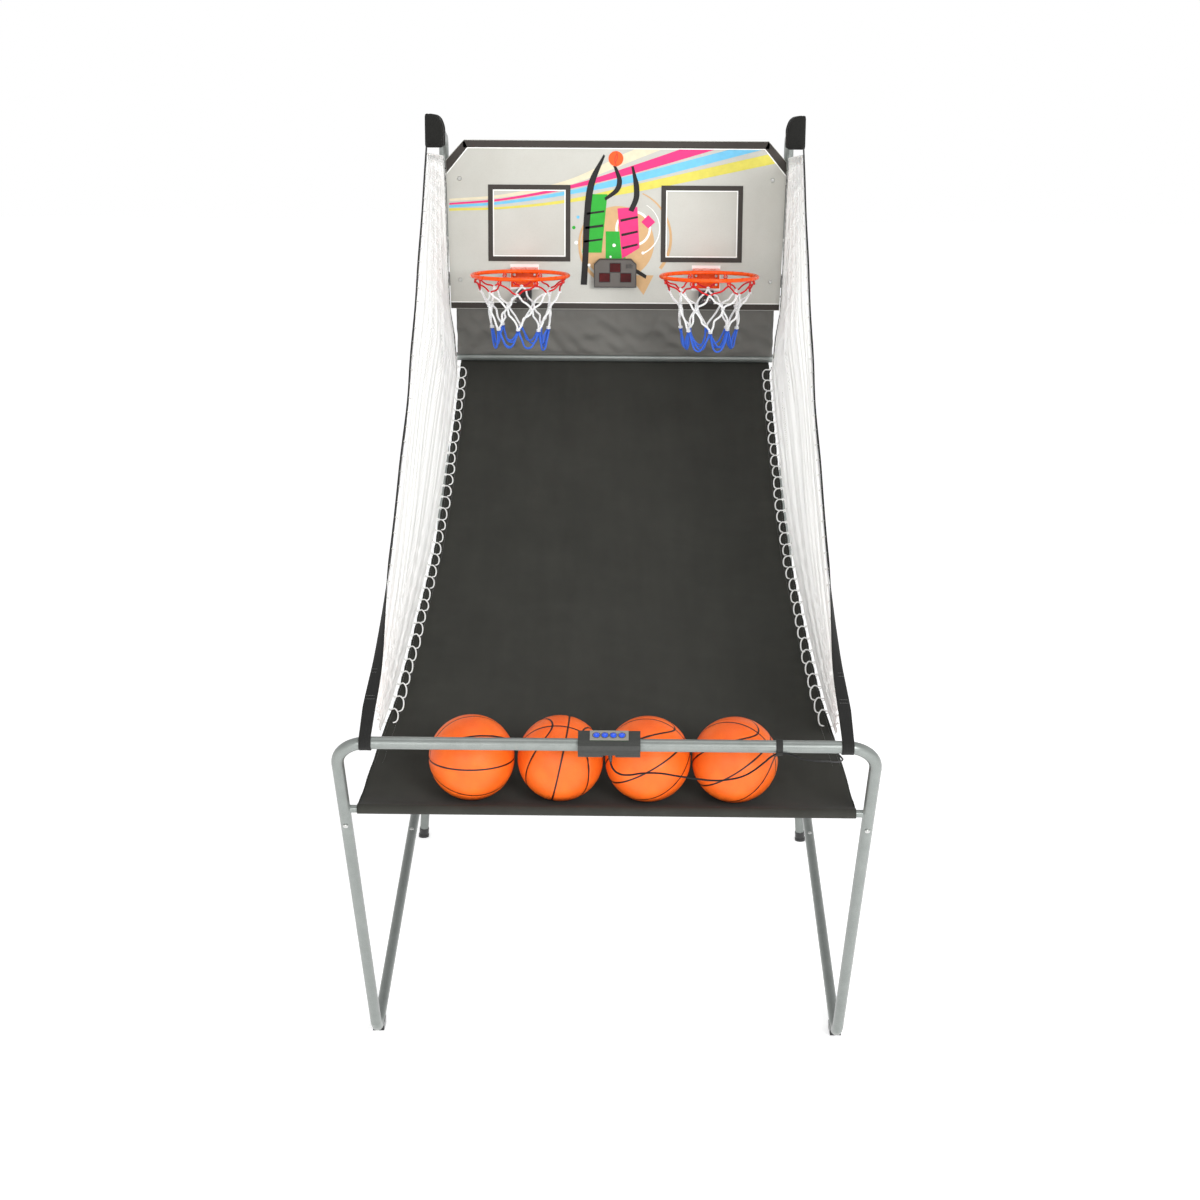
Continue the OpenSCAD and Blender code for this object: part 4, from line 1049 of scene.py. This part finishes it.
# ------------------------------------------------------------------ straps
def make_straps():
    b = Bag()
    for s in (-1, 1):
        up = smooth_line([strap_at(1266 - 76 * i) for i in range(17)], 150)
        k = np.linspace(0, 16, 150)
        q = np.radians(np.clip((k - 12.4) / 3.6, 0, 1) ** 1.3 * 90)
        wd = [np.array([math.sin(a), 0.66 * math.cos(a), -0.75 * math.cos(a)]) for a in q]
        wr = 14.5
        wrap = [mm(472, -wr * math.sin(math.radians(a - 48)), 892 + wr * math.cos(math.radians(a - 48)))
                for a in np.arange(66, 331, 10)]
        line = np.vstack([up, wrap])
        wd += [np.array([1.0, 0, 0])] * len(wrap)
        flutter = np.zeros((len(line), 3))
        flutter[:150, 0] = 0.0008 * np.sin(k * 2.1) * np.sin(np.pi * k / 16)
        wide = np.concatenate([np.interp(k, [0, 9, 12, 15.2, 16], [0.021, 0.021, 0.021, 0.027, 0.026]), np.full(len(wrap), 0.0240)])
        b.ribbon(side(s, line + flutter), [side(s, w) for w in wd], wide, 0.0018)
        # the tail sewn back on itself above the bar
        tail = np.array([strap_at(y) + np.array([0, 0.0012, -0.0022]) for y in np.linspace(122, 52, 16)])
        b.ribbon(side(s, tail), [side(s, np.array([1.0, 0, 0]))] * 16, 0.0185, 0.0016)
    ob = b.make("outer_straps", M["black_webbing"], slot="black_webbing")
    t = Bag()
    for s in (-1, 1):
        for y in (118, 112, 70, 64):
            o = strap_at(y) + np.array([0, -0.0004, 0.0014])
            for k in np.arange(-0.009, 0.0095, 0.003):
                p = o + np.array([k, 0, 0])
                t.tube(side(s, np.array([p, p + [0.001, 0, 0.0003], p + [0.002, 0, 0]])), 0.0004, 4)
    st = t.make("strap_stitching", M["thread"], slot="lacing")
    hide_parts("net_straps")


make_straps()


# ------------------------------------------------------------------ cloth pockets on the ends of the uprights
def make_sleeve(s):
    """A sewn pocket: rounded sections along Y, the inner top corner cut in a wide curve."""
    cx, cz, hx, hz = 0.438, 2.037, 0.0202, 0.0380
    n = 64
    base = []
    for k in range(n):
        a = 2 * math.pi * k / n
        c, sn = math.cos(a), math.sin(a)
        p = 16.0 if not (c < 0 and sn > 0) else 1.95
        r = (abs(c) ** p + abs(sn) ** p) ** (-1 / p)
        top = max(0.0, sn) * r
        base.append((r * c, r * sn + 0.07 * top * r * c - 0.05 * top))
    base = np.array(base)
    rows = []
    stations = [(0.0, 0.30), (0.0006, 0.70), (0.0022, 0.90), (0.006, 0.985), (0.010, 1.0), (0.0116, 1.018), (0.0132, 1.0)]
    ys = [t[0] for t in stations] + list(np.linspace(0.02, 0.082, 12)) + [0.086, 0.090, 0.092]
    ks = [t[1] for t in stations] + [1.0 + 0.012 * math.sin(j * 1.9) for j in range(12)] + [0.99, 0.96, 0.93]
    for y, k in zip(ys, ks):
        x = base[:, 0] * hx * k
        z = base[:, 1] * hz * k
        if y > 0.012:
            a = np.arange(n) * 2 * np.pi / n
            amp = 0.0009 * math.sin(math.pi * min(1, (y - 0.012) / 0.08))
            x = x + amp * np.cos(a) * np.sin(7 * a + y * 60)
            z = z + amp * np.sin(a) * np.sin(5 * a - y * 45)
        rows.append(np.stack([cx + x, np.full(n, Y0 + 1.278 + y), cz + z], 1))
    rows = np.array(rows)
    b = Bag()
    m = len(rows)
    f, uv = [], []
    for i in range(m - 1):
        for k in range(n):
            l = (k + 1) % n
            f.append((i * n + k, i * n + l, (i + 1) * n + l, (i + 1) * n + k))
            e = 0.22 / n
            uv.append([(k * e, ys[i]), ((k + 1) * e, ys[i]), ((k + 1) * e, ys[i + 1]), (k * e, ys[i + 1])])
    v = rows.reshape(-1, 3)
    c = rows[0].mean(0)
    v = np.vstack([v, c])
    for k in range(n):
        f.append((m * n, (k + 1) % n, k))
        uv.append([tuple((v[q][[0, 2]]).tolist()) for q in (m * n, (k + 1) % n, k)])
    b.add(side(s, v), [t if s > 0 else t[::-1] for t in f], 0, [t if s > 0 else t[::-1] for t in uv])
    # piping round the front face and the back hem
    for i in (5, m - 3):
        ring = rows[i] + (rows[i] - rows[i].mean(0)) * 0.01
        b.tube(side(s, ring), 0.0011, 6, 1, closed=True)
    seam = smooth_line([rows[i][int(n * 0.75)] - np.array([0, 0, 0.0004]) for i in range(6, m - 2, 2)], 30)
    b.tube(side(s, seam), 0.0009, 6, 1)
    ob = b.make("pocket_%s" % ("right" if s > 0 else "left"), [M["black_cloth_fine"], M["hem_cloth"]], slot="black_cloth")
    if s < 0:
        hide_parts("net_sleeves")
    return ob


for s in (-1, 1):
    make_sleeve(s)


# ------------------------------------------------------------------ lacing hooks on the ramp's edges
def make_lacing(s):
    b = Bag()
    g = np.random.default_rng(40 + s)
    line = []
    for i, y in enumerate(HOOKS):
        low = max(0.0, (i - 17) / 12)
        reach = 16.5 + 3.5 * low + g.uniform(-1.8, 1.8)
        lift = 3.0 + 8 * low * g.uniform(0.5, 1.0)
        curl = 21 + 7 * low * g.uniform(0.4, 1.2) + g.uniform(-2.5, 2.5)
        h = half(y)
        yy = Y0 + y / 1000

        def on(dx, dy):
            """A point dx in from the sheet's edge and dy along it, on the sheet."""
            px = (h - dx) / 1000
            return np.array([px, yy + dy / 1000, ramp_at(s * min(px, h / 1000 - 0.001), yy + dy / 1000)])
        up = np.array([0, -0.42, 0.9]) / 1000
        pts = [side(1, edge_at(y + 12)) + np.array([0.0005, 0, 0.0022]),
               on(2.5, 12) + up * (5 + lift * 0.4),
               on(reach * 0.62, 9) + up * (4.6 + lift),
               on(reach * 0.98, 0) + up * (3.6 + lift * 0.7),
               on(reach * 1.06, -curl * 0.48) + up * (2.8 + lift * 0.3),
               on(reach * 0.94, -curl * 0.86) + up * 2.2,
               on(reach * 0.66, -curl) + up * 1.4,
               on(reach * 0.44, -curl * 0.90) + up * -2.5]
        line = smooth_line(pts, 26)
        b.tube(side(s, line), 0.00165, 6)
        # run under the sheet back to the net's border
        back = smooth_line([on(reach * 0.44, -curl * 0.90) + up * -2.5, on(reach * 0.30, -curl * 0.9 - 3) + up * -5,
                            side(1, edge_at(y - 26)) + np.array([0.002, 0, -0.004]),
                            side(1, edge_at(y - 30.6)) + np.array([0.0035, 0, 0.0006])], 18)
        b.tube(side(s, back), 0.00155, 6)
        # knot on the border cord
        b.ball(side(s, edge_at(y + 12) + np.array([0.0008, 0, 0.001])), 0.0031, n=8, m=6)
    return b.make("lacing_%s" % ("right" if s > 0 else "left"), M["lacing"], slot="lacing")


for s in (-1, 1):
    lc = make_lacing(s)
    if s < 0:
        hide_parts("net_lacing")


# ------------------------------------------------------------------ hoop nets
def make_hoop_net(s):
    cx, cy = 0.241 * s, Y0 + 1.500
    g = np.random.default_rng(70 + s)
    ring_z = 1.673
    top, l1, l2, l3, l4 = 1.6585, 1.634, 1.595, 1.542, 1.489
    r0, r1, r2, r3, r4 = 0.1175, 0.102, 0.081, 0.0700, 0.0670

    def at(r, deg, z, jit=0.0):
        a = math.radians(deg)
        return np.array([cx + r * math.cos(a) + g.uniform(-jit, jit), cy + r * math.sin(a) + g.uniform(-jit, jit), z + g.uniform(-jit, jit)])
    b = Bag()
    P0 = [at(r0, 22.5 + 45 * k, top) for k in range(8)]
    P1 = [at(r1, 45 + 45 * k, l1, 0.003) for k in range(8)]
    P2 = [at(r2, 22.5 + 45 * k, l2, 0.0045) for k in range(8)]
    P3 = [at(r3, 45 + 45 * k, l3, 0.0035) for k in range(8)]

    def strand(p, q, r, mi, bow=0.0, n=12, wob=0.0012):
        mid = (p + q) / 2
        out = unit(np.array([mid[0] - cx, mid[1] - cy, 0]))
        t = np.linspace(0, 1, n)
        line = p[None] * (1 - t[:, None]) + q[None] * t[:, None]
        line = line + out[None] * (np.sin(np.pi * t) * bow)[:, None]
        ph = g.uniform(0, 6)
        line[:, 2] += np.sin(np.pi * t) * np.sin(t * 5 + ph) * wob
        line[:, :2] += (np.sin(np.pi * t) * np.sin(t * 7 + ph) * wob)[:, None] * np.array([[out[1], -out[0]]])
        b.tube(line, r, 7, mi)
    for k in range(8):
        # small loop of red cord over the hook on the rim
        a = math.radians(22.5 + 45 * k)
        c = np.array([cx + 0.1205 * math.cos(a), cy + 0.1205 * math.sin(a), ring_z - 0.0085])
        o, w = np.array([math.cos(a), math.sin(a), 0]), np.array([-math.sin(a), math.cos(a), 0])
        b.tube([c + w * 0.0042 * math.sin(t) * (1.2 if math.cos(t) < 0 else 0.8) + np.array([0, 0, 0.0062 * math.cos(t)]) - o * 0.0015 * math.cos(t)
                for t in np.linspace(0, 2 * math.pi, 16, endpoint=False)], 0.0016, 6, 1, closed=True)
        strand(P0[k], P1[k], 0.0022, 1, -0.002, wob=0.003)
        strand(P0[k], P1[(k - 1) % 8], 0.0022, 1, -0.002, wob=0.003)
        for e in (1, -1):
            strand(P1[k] + np.array([e * 0.0012, 0, 0]), P2[(k + (1 if e > 0 else 0)) % 8], 0.0026, 0, 0.002, wob=0.004)
            # the two strands beside the sensor lever stand clear of its whole swing
            by_lever = (k, e) in ((1, 1), (2, -1))
            strand(P2[k], P3[k if e > 0 else (k - 1) % 8], 0.0026, 0, 0.010 if by_lever else 0.003, wob=0.001 if by_lever else 0.005)
        for q, r in ((P1[k], 0.0040), (P2[k], 0.0043), (P3[k], 0.0046)):
            b.ball(q, r, 0, 9, 7, 1.15)
            d = unit(np.array([q[1] - cy, -(q[0] - cx), 0]))
            for z in (-0.0018, 0.0016):
                b.tube([q + np.array([0, 0, z]) + d * r * 1.08 * math.cos(t) + np.array([d[1], -d[0], 0]) * r * 1.08 * math.sin(t)
                        for t in np.linspace(0, 2 * math.pi, 12, endpoint=False)], 0.0011, 5, 0, closed=True)
        # blue loop: down from one knot, round the bottom and up to the next
        p, q = P3[k], P3[(k + 1) % 8]
        deg = 45 + 45 * k
        for turn in range(2):
            dz = g.uniform(-0.005, 0.008) + 0.006 * turn
            dr = g.uniform(-0.006, 0.003) * (turn + 0.4)
            lean = g.uniform(-5, 5)
            low = [at(r4 + 0.002 + dr, deg + 7 + lean * 0.4, l4 + 0.022 + dz), at(r4 + dr, deg + 14 + lean, l4 + 0.005 + dz),
                   at(r4 - 0.002 + dr, deg + 22.5 + lean, l4 + dz),
                   at(r4 + dr, deg + 31 + lean, l4 + 0.005 + dz), at(r4 + 0.002 + dr, deg + 38 + lean * 0.4, l4 + 0.022 + dz)]
            o = np.array([0.0018 * (1 - 2 * turn), 0.001, 0])
            b.tube(smooth_line([p - np.array([0, 0, 0.003]) + o] + low + [q - np.array([0, 0, 0.003]) + o], 34), 0.0023, 7, 2)
        for c in (p, q):
            b.tube([c + np.array([0, 0, -0.006]) + np.array([math.cos(t), math.sin(t), 0]) * 0.0034
                    for t in np.linspace(0, 2 * math.pi, 12, endpoint=False)], 0.0014, 5, 2, closed=True)
    ob = b.make("hoop_net_%s_cords" % ("right" if s > 0 else "left"), [M["net_white"], M["net_red"], M["net_blue"]], slot="net_cord")
    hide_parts("hoop_net_right" if s > 0 else "hoop_net_left")


for s in (-1, 1):
    make_hoop_net(s)


# ------------------------------------------------------------------ balls
# the last number of each ball scales its colour as painted shade; it makes the fourth ball a darker copy of the same
# rubber
BALLS = [(-277, 0, 15, 1), (-95, 78, -25, 1), (84, 30, -8, 1), (262, 34, -24, 0.93)]


def make_ball(i):
    x, roll, yaw, painted_shade = BALLS[i]
    R = 0.0879
    n, m = 224, 140
    a = np.linspace(0, 2 * np.pi, n, endpoint=False)
    t = np.linspace(0, np.pi, m + 1)[1:-1]
    d = np.stack([np.outer(np.sin(t), np.cos(a)), np.outer(np.sin(t), np.sin(a)), np.outer(np.cos(t), np.ones(n))], -1).reshape(-1, 3)
    d = np.vstack([d, [0, 0, 1], [0, 0, -1]])
    f1 = np.abs(d[:, 0])
    f2 = np.abs(d[:, 1])
    q = np.sqrt((d[:, 1] / 0.95) ** 2 + (d[:, 2] / 2.6) ** 2)
    f3 = np.abs(q - np.abs(d[:, 0])) / np.sqrt(1 + (d[:, 1] / 0.9 / np.maximum(q, 1e-6)) ** 2 + (d[:, 2] / 6.8 / np.maximum(q, 1e-6)) ** 2)
    dist = np.minimum(np.minimum(f1, f2), f3) * R
    groove = np.clip(1 - dist / 0.0024, 0, 1)
    soft = np.exp(-(dist / 0.0034) ** 2)
    r = R - 0.0011 * soft
    v = d * r[:, None]
    faces = []
    rows = m - 1
    for k in range(rows - 1):
        for j in range(n):
            l = (j + 1) % n
            faces.append((k * n + j, (k + 1) * n + j, (k + 1) * n + l, k * n + l))
    top, bot = rows * n, rows * n + 1
    faces += [(top, j, (j + 1) % n) for j in range(n)]
    faces += [(bot, (rows - 1) * n + (j + 1) % n, (rows - 1) * n + j) for j in range(n)]
    me = bpy.data.meshes.new("ball_%d_shell" % (i + 1))
    # local axes: X is the middle of one oval panel, Z its long way; stand X up, Z across
    base = Matrix(((0, 0, 1), (0, -1, 0), (1, 0, 0)))
    turn = Matrix.Rotation(math.radians(yaw), 3, "Z")
    lean = Matrix.Rotation(math.radians(-roll), 3, "Y")
    mt = np.array(lean @ turn @ base)
    v = v @ mt.T
    # the ball rests on the sheet
    me.from_pydata([tuple(p) for p in v], [], faces)
    at = me.attributes.new("seam", "FLOAT", "POINT")
    at.data.foreach_set("value", groove.astype(np.float32))
    me.polygons.foreach_set("use_smooth", [True] * len(faces))
    # both tones of the rubber are dimmed by the ball's painted shade factor
    me.materials.append(ball_material("ball_%d_rubber" % (i + 1), tint(lin(249, 114, 28), painted_shade), tint(lin(232, 92, 20), painted_shade)))
    me.update()
    ob = bpy.data.objects.new("ball_%d_shell" % (i + 1), me)
    ob.location = (x / 1000, Y0 + 0.185, 0.7174 + 0.088)
    SC.collection.objects.link(ob)
    bpy.context.view_layer.update()
    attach(ob, "ball_%d" % (i + 1))
    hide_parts("ball_%d" % (i + 1))


for i in range(4):
    make_ball(i)


# ------------------------------------------------------------------ print on the board: a plain geometric design
BF = Y0 + 1.735
INK = {
    "dark": lin(58, 53, 49), "white": lin(246, 246, 242), "tan": lin(206, 168, 122), "pink": lin(230, 52, 122),
    "cyan": lin(112, 190, 226), "yellow": lin(216, 206, 92), "green": lin(44, 166, 52), "orange": lin(238, 92, 38),
    "cream": lin(222, 212, 184), "red": lin(196, 40, 48), "black": lin(30, 28, 27),
}


def ink(name, col):
    s = Shader("ink_" + name, Coat_Weight=0.04, Coat_Roughness=0.3, Specular_IOR_Level=0.25)
    c = s.ramp(s.noise(60, 5), [(0.3, tint(col, 0.94)), (0.7, tint(col, 1.05))])
    c = s.mix(s.ramp(s.noise(700, 2), [(0.55, (0, 0, 0)), (0.8, (0.25,) * 3)]), c, tint(col, 1.25))
    s.color(c)
    s.rough(s.remap(s.noise(40, 4), 0.52, 0.66))
    s.bump(s.noise(500, 3), 0.08, 0.0003)
    return s.m


def clip(poly, edge):
    """Keeps the part of a polygon inside a convex outline."""
    out = [tuple(p) for p in poly]
    k = len(edge)
    for i in range(k):
        a, b_ = edge[i], edge[(i + 1) % k]
        src, out = out, []

        def inside(p):
            return (b_[0] - a[0]) * (p[1] - a[1]) - (b_[1] - a[1]) * (p[0] - a[0]) >= 0
        for j in range(len(src)):
            p, q = src[j - 1], src[j]
            if inside(p) != inside(q):
                d = (b_[0] - a[0]) * (q[1] - p[1]) - (b_[1] - a[1]) * (q[0] - p[0])
                t = ((b_[0] - a[0]) * (a[1] - p[1]) - (b_[1] - a[1]) * (a[0] - p[0])) / d
                out.append((p[0] + (q[0] - p[0]) * t, p[1] + (q[1] - p[1]) * t))
            if inside(q):
                out.append(q)
        if not out:
            return []
    return out


def make_print():
    names = list(INK)
    mats = [ink(n, INK[n]) for n in names]
    b = Bag()
    outline = [(-436.2, 1.2), (436.2, 1.2), (446.9, 387.4), (399.4, 439.7), (-399.4, 439.7), (-446.9, 387.4)]
    outline = [(x, z + 1564) for x, z in outline]
    depth = [0]

    def poly(pts, colour, layer, holes=None):
        p = clip(pts, outline)
        if len(p) < 3:
            return
        y = BF - 0.00012 - 0.00009 * layer
        b.add([(x / 1000, y, z / 1000) for x, z in p], [tuple(range(len(p)))], names.index(colour))

    def band(upper, lower, colour, layer):
        """Fills between two curves given as (x, z) points with the same x steps, in short convex pieces."""
        u, l = smooth_line([(x, z, 0) for x, z in upper], 60)[:, :2], smooth_line([(x, z, 0) for x, z in lower], 60)[:, :2]
        for i in range(59):
            poly([tuple(l[i]), tuple(l[i + 1]), tuple(u[i + 1]), tuple(u[i])], colour, layer)

    def frame_of(x0, x1, z0, z1, w, colour, layer):
        poly([(x0, z0), (x1, z0), (x1 - w, z0 + w), (x0 + w, z0 + w)], colour, layer)
        poly([(x1, z0), (x1, z1), (x1 - w, z1 - w), (x1 - w, z0 + w)], colour, layer)
        poly([(x1, z1), (x0, z1), (x0 + w, z1 - w), (x1 - w, z1 - w)], colour, layer)
        poly([(x0, z1), (x0, z0), (x0 + w, z0 + w), (x0 + w, z1 - w)], colour, layer)

    def arc(cx, cz, r, w, a0, a1, colour, layer, w1=None):
        w1 = w if w1 is None else w1
        n = max(10, int(abs(a1 - a0) / 5))
        for i in range(n):
            p = []
            for t in (i / n, (i + 1) / n):
                a = math.radians(a0 + (a1 - a0) * t)
                ww = w + (w1 - w) * t
                p.append(((cx + (r - ww / 2) * math.cos(a), cz + (r - ww / 2) * math.sin(a)),
                          (cx + (r + ww / 2) * math.cos(a), cz + (r + ww / 2) * math.sin(a))))
            q = [p[0][0], p[0][1], p[1][1], p[1][0]]
            area = sum(q[k - 1][0] * q[k][1] - q[k][0] * q[k - 1][1] for k in range(4))
            poly(q if area > 0 else q[::-1], colour, layer)

    def disc(cx, cz, r, colour, layer, n=48):
        poly([(cx + r * math.cos(2 * math.pi * k / n), cz + r * math.sin(2 * math.pi * k / n)) for k in range(n)], colour, layer)

    def C(pts):
        return [(-426 + 0.66 * x, 2020.5 - 0.6525 * y) for x, y in pts]
    # sweeping stripes
    band(C([(-20, 258), (200, 238), (460, 178), (700, 66), (820, 30)]), C([(-20, 268), (200, 250), (460, 200), (760, 84), (900, 30)]), "cream", 1)
    band(C([(-20, 275), (200, 254), (460, 202), (700, 126), (960, 36)]), C([(-20, 282), (200, 263), (460, 216), (720, 152), (1110, 36)]), "pink", 2)
    band(C([(-20, 284), (200, 266), (460, 222), (700, 162), (1160, 40)]), C([(-20, 294), (200, 277), (460, 238), (760, 178), (1290, 40)]), "cyan", 3)
    band(C([(-20, 296), (200, 288), (460, 256), (760, 188), (1330, 56)]), C([(-20, 306), (200, 297), (460, 270), (790, 214), (1330, 100)]), "yellow", 4)
    # centre motif: plain rings, blocks and arcs that climb to a ball
    cx, cz = C([(655, 430)])[0]
    disc(cx, cz, 96, "tan", 5, 64)
    arc(cx + 12, cz + 12, 128, 9, -38, 66, "tan", 5, 3)
    arc(cx + 6, cz - 4, 108, 5, 150, 232, "tan", 5, 9)
    poly(C([(700, 560), (800, 560), (760, 640)]), "tan", 5)
    arc(*C([(716, 372)])[0], 44, 6, 0, 360, "white", 6)
    arc(*C([(716, 372)])[0], 70, 3.5, -70, 60, "white", 6, 1.5)
    # leaning blocks
    poly(C([(606, 497), (688, 497), (662, 384), (606, 384)]), "green", 7)
    poly(C([(512, 470), (590, 470), (612, 236), (540, 236)]), "green", 8)
    poly(C([(672, 494), (742, 450), (732, 286), (652, 292)]), "pink", 8)
    for k, (y, a) in enumerate(((300, 8), (356, 10), (412, 8))):
        poly(C([(530 - k * 6, y + 10), (600 - k * 4, y), (600 - k * 4, y + a), (530 - k * 6, y + 10 + a)]), "black", 9)
    for k, y in enumerate((330, 388, 440)):
        poly(C([(664 + k * 4, y + 6), (734, y - 8), (735, y), (666 + k * 4, y + 16)]), "black", 9)
    # dark arcs that taper as they rise
    band(C([(506, 600), (514, 470), (518, 330), (536, 190), (596, 78)]), C([(532, 600), (538, 470), (544, 330), (560, 200), (602, 84)]), "black", 9)
    band(C([(600, 250), (640, 216), (650, 180), (640, 140), (634, 124)]), C([(604, 262), (656, 226), (670, 184), (654, 140), (644, 122)]), "black", 9)
    band(C([(696, 300), (716, 250), (716, 200), (712, 160), (706, 126)]), C([(716, 306), (738, 252), (738, 200), (726, 160), (716, 124)]), "black", 9)
    band(C([(700, 520), (740, 540), (772, 560)]), C([(696, 534), (736, 556), (768, 574)]), "black", 9)
    # ball
    bx, bz = C([(645, 95)])[0]
    disc(bx, bz, 19.5, "orange", 10)
    arc(bx - 20, bz + 6, 24, 1.4, -42, 34, "red", 11)
    arc(bx + 22, bz - 4, 25, 1.4, 140, 222, "red", 11)
    # small plain marks
    poly(C([(748, 346), (776, 372), (804, 346), (776, 318)]), "pink", 9)
    disc(*C([(495, 328)])[0], 4.2, "cyan", 6, 20)
    disc(*C([(478, 370)])[0], 4.6, "green", 6, 20)
    disc(*C([(560, 196)])[0], 3.4, "yellow", 6, 20)
    for x, y, r in ((488, 430, 5), (540, 520, 4), (640, 440, 4.5), (756, 470, 4), (626, 486, 3)):
        disc(*C([(x, y)])[0], r, "white", 12, 20)
    # border: dark tape on the top, the cut corners and the bottom, with a thin white line inside
    inset = 17
    poly([(-402, 1985.4), (402, 1985.4), (402, 2004.6), (-402, 2004.6)], "dark", 13)
    for s in (-1, 1):
        q = [(s * 400, 2004.6), (s * 448, 1951.8), (s * 447.4, 1917), (s * 390.5, 1985.6)]
        if s > 0:
            q = q[::-1]
        area = sum(q[k - 1][0] * q[k][1] - q[k][0] * q[k - 1][1] for k in range(4))
        poly(q if area > 0 else q[::-1], "dark", 13)
        w = [(s * 391, 1985.5), (s * 447.2, 1917.6), (s * 447, 1913.4), (s * 389.2, 1983.2)]
        area = sum(w[k - 1][0] * w[k][1] - w[k][0] * w[k - 1][1] for k in range(4))
        poly(w if area > 0 else w[::-1], "white", 14)
    poly([(-389.5, 1983.0), (389.5, 1983.0), (391, 1985.6), (-391, 1985.6)], "white", 14)
    poly([(-437, 1565.2), (437, 1565.2), (437.6, 1580.5), (-437.6, 1580.5)], "dark", 13)
    poly([(-437.6, 1580.4), (437.6, 1580.4), (437.7, 1582.9), (-437.7, 1582.9)], "white", 14)
    # aiming squares
    for x0, x1 in ((-337, -119.5), (120, 335)):
        frame_of(x0, x1, 1690, 1890, 13, "dark", 13)
        frame_of(x0 + 12.8, x1 - 12.8, 1702.8, 1877.2, 3, "white", 14)
    ob = b.make("board_print", mats, smooth=False, slot="board")
    return ob


make_print()


# ------------------------------------------------------------------ small details on the control and score units
def on_panel(x, y, z):
    a = math.radians(28.33)
    return np.array([(6 + x) / 1000, Y0 + (-14 + y * math.cos(a) - z * math.sin(a)) / 1000,
                     (892 + 13.6 + y * math.sin(a) + z * math.cos(a)) / 1000])


def make_details():
    b = Bag()
    for x in (-25, -8.4, 8.2, 24.8):
        ring = [on_panel(x + 7.5 * math.cos(t), 12 + 7.5 * math.sin(t), 2.35) for t in np.linspace(0, 2 * math.pi, 40, endpoint=False)]
        b.tube(ring, 0.00045, 6, closed=True)
    b.make("button_rings", M["dark_plastic"], slot="dark_plastic")
    # dark line round the score unit's face and each display
    t = Bag()
    z0 = 1625

    def loop(pts, y, r):
        out = []
        for i in range(len(pts)):
            a, c = np.array(pts[i]), np.array(pts[(i + 1) % len(pts)])
            for q in np.linspace(0, 1, 8, endpoint=False):
                p = a + (c - a) * q
                out.append([p[0] / 1000, y, p[1] / 1000])
        t.tube(out, r, 6, closed=True)
    w, h, c = 112, 74, 14
    loop([(-w / 2 + 0.8, z0 + 0.8), (w / 2 - 0.8, z0 + 0.8), (w / 2 - 0.8, z0 + h - c - 0.4), (w / 2 - c - 0.4, z0 + h - 0.8),
          (-w / 2 + c + 0.4, z0 + h - 0.8), (-w / 2 + 0.8, z0 + h - c - 0.4)], BF - 0.0302, 0.0011)
    for x, z in ((0, 52), (-28, 26), (28, 26)):
        loop([(x - 14.4, z0 + z - 11.9), (x + 14.4, z0 + z - 11.9), (x + 14.4, z0 + z + 11.9), (x - 14.4, z0 + z + 11.9)], BF - 0.0301, 0.0009)
    t.make("score_outline", M["dark_plastic"], slot="dark_plastic")


make_details()


# ------------------------------------------------------------------ studio
def make_stage():
    b = Bag()
    b.grid(np.stack(np.meshgrid(np.linspace(-16, 16, 33), np.linspace(-9, 30, 40)) + [np.zeros((40, 33))], -1))
    s = Shader("studio_floor", Specular_IOR_Level=0.2)
    s.color(s.ramp(s.noise(3, 4), [(0.3, (0.90,) * 3), (0.7, (0.92,) * 3)]))
    s.b.inputs["Emission Color"].default_value = (1, 1, 1, 1)
    s.b.inputs["Emission Strength"].default_value = 0.56
    s.rough(s.remap(s.noise(9, 3), 0.85, 0.95))
    floor = b.make("floor", s.m, body=None)
    floor.location.z = -0.0004
    w = bpy.data.worlds.new("studio")
    SC.world = w
    w.use_nodes = True
    nt = w.node_tree
    bg = nt.nodes["Background"]
    bg.inputs[0].default_value = (1, 1, 1, 1)
    # white behind the object; the light it gives falls off towards the top
    path = nt.nodes.new("ShaderNodeLightPath")
    tc = nt.nodes.new("ShaderNodeTexCoord")
    xyz = nt.nodes.new("ShaderNodeSeparateXYZ")
    nt.links.new(tc.outputs["Generated"], xyz.inputs[0])
    fall = nt.nodes.new("ShaderNodeMapRange")
    fall.inputs["From Min"].default_value = 0.0
    fall.inputs["From Max"].default_value = 0.9
    fall.inputs["To Min"].default_value = 0.80
    fall.inputs["To Max"].default_value = 0.42
    nt.links.new(xyz.outputs[2], fall.inputs["Value"])
    level = nt.nodes.new("ShaderNodeMapRange")
    level.inputs["To Max"].default_value = 1.0
    nt.links.new(path.outputs["Is Camera Ray"], level.inputs["Value"])
    nt.links.new(fall.outputs[0], level.inputs["To Min"])
    nt.links.new(level.outputs[0], bg.inputs[1])
    SC.view_settings.view_transform = "Standard"

    def area(name, loc, to, size, power, size_y=None):
        d = bpy.data.lights.new(name, "AREA")
        d.shape = "RECTANGLE"
        d.size = size
        d.size_y = size_y or size
        d.energy = power
        ob = bpy.data.objects.new(name, d)
        ob.location = loc
        ob.rotation_euler = (Vector(to) - Vector(loc)).to_track_quat("-Z", "Y").to_euler()
        SC.collection.objects.link(ob)
    area("key", (2.3, -5.4, 2.9), (0, 0.2, 1.2), 1.8, 235)
    area("fill", (-2.0, -5.6, 1.9), (0, 0.2, 1.1), 2.2, 85)
    area("top", (0, -0.6, 5.2), (0, -0.4, 1), 2.4, 30)


make_stage()
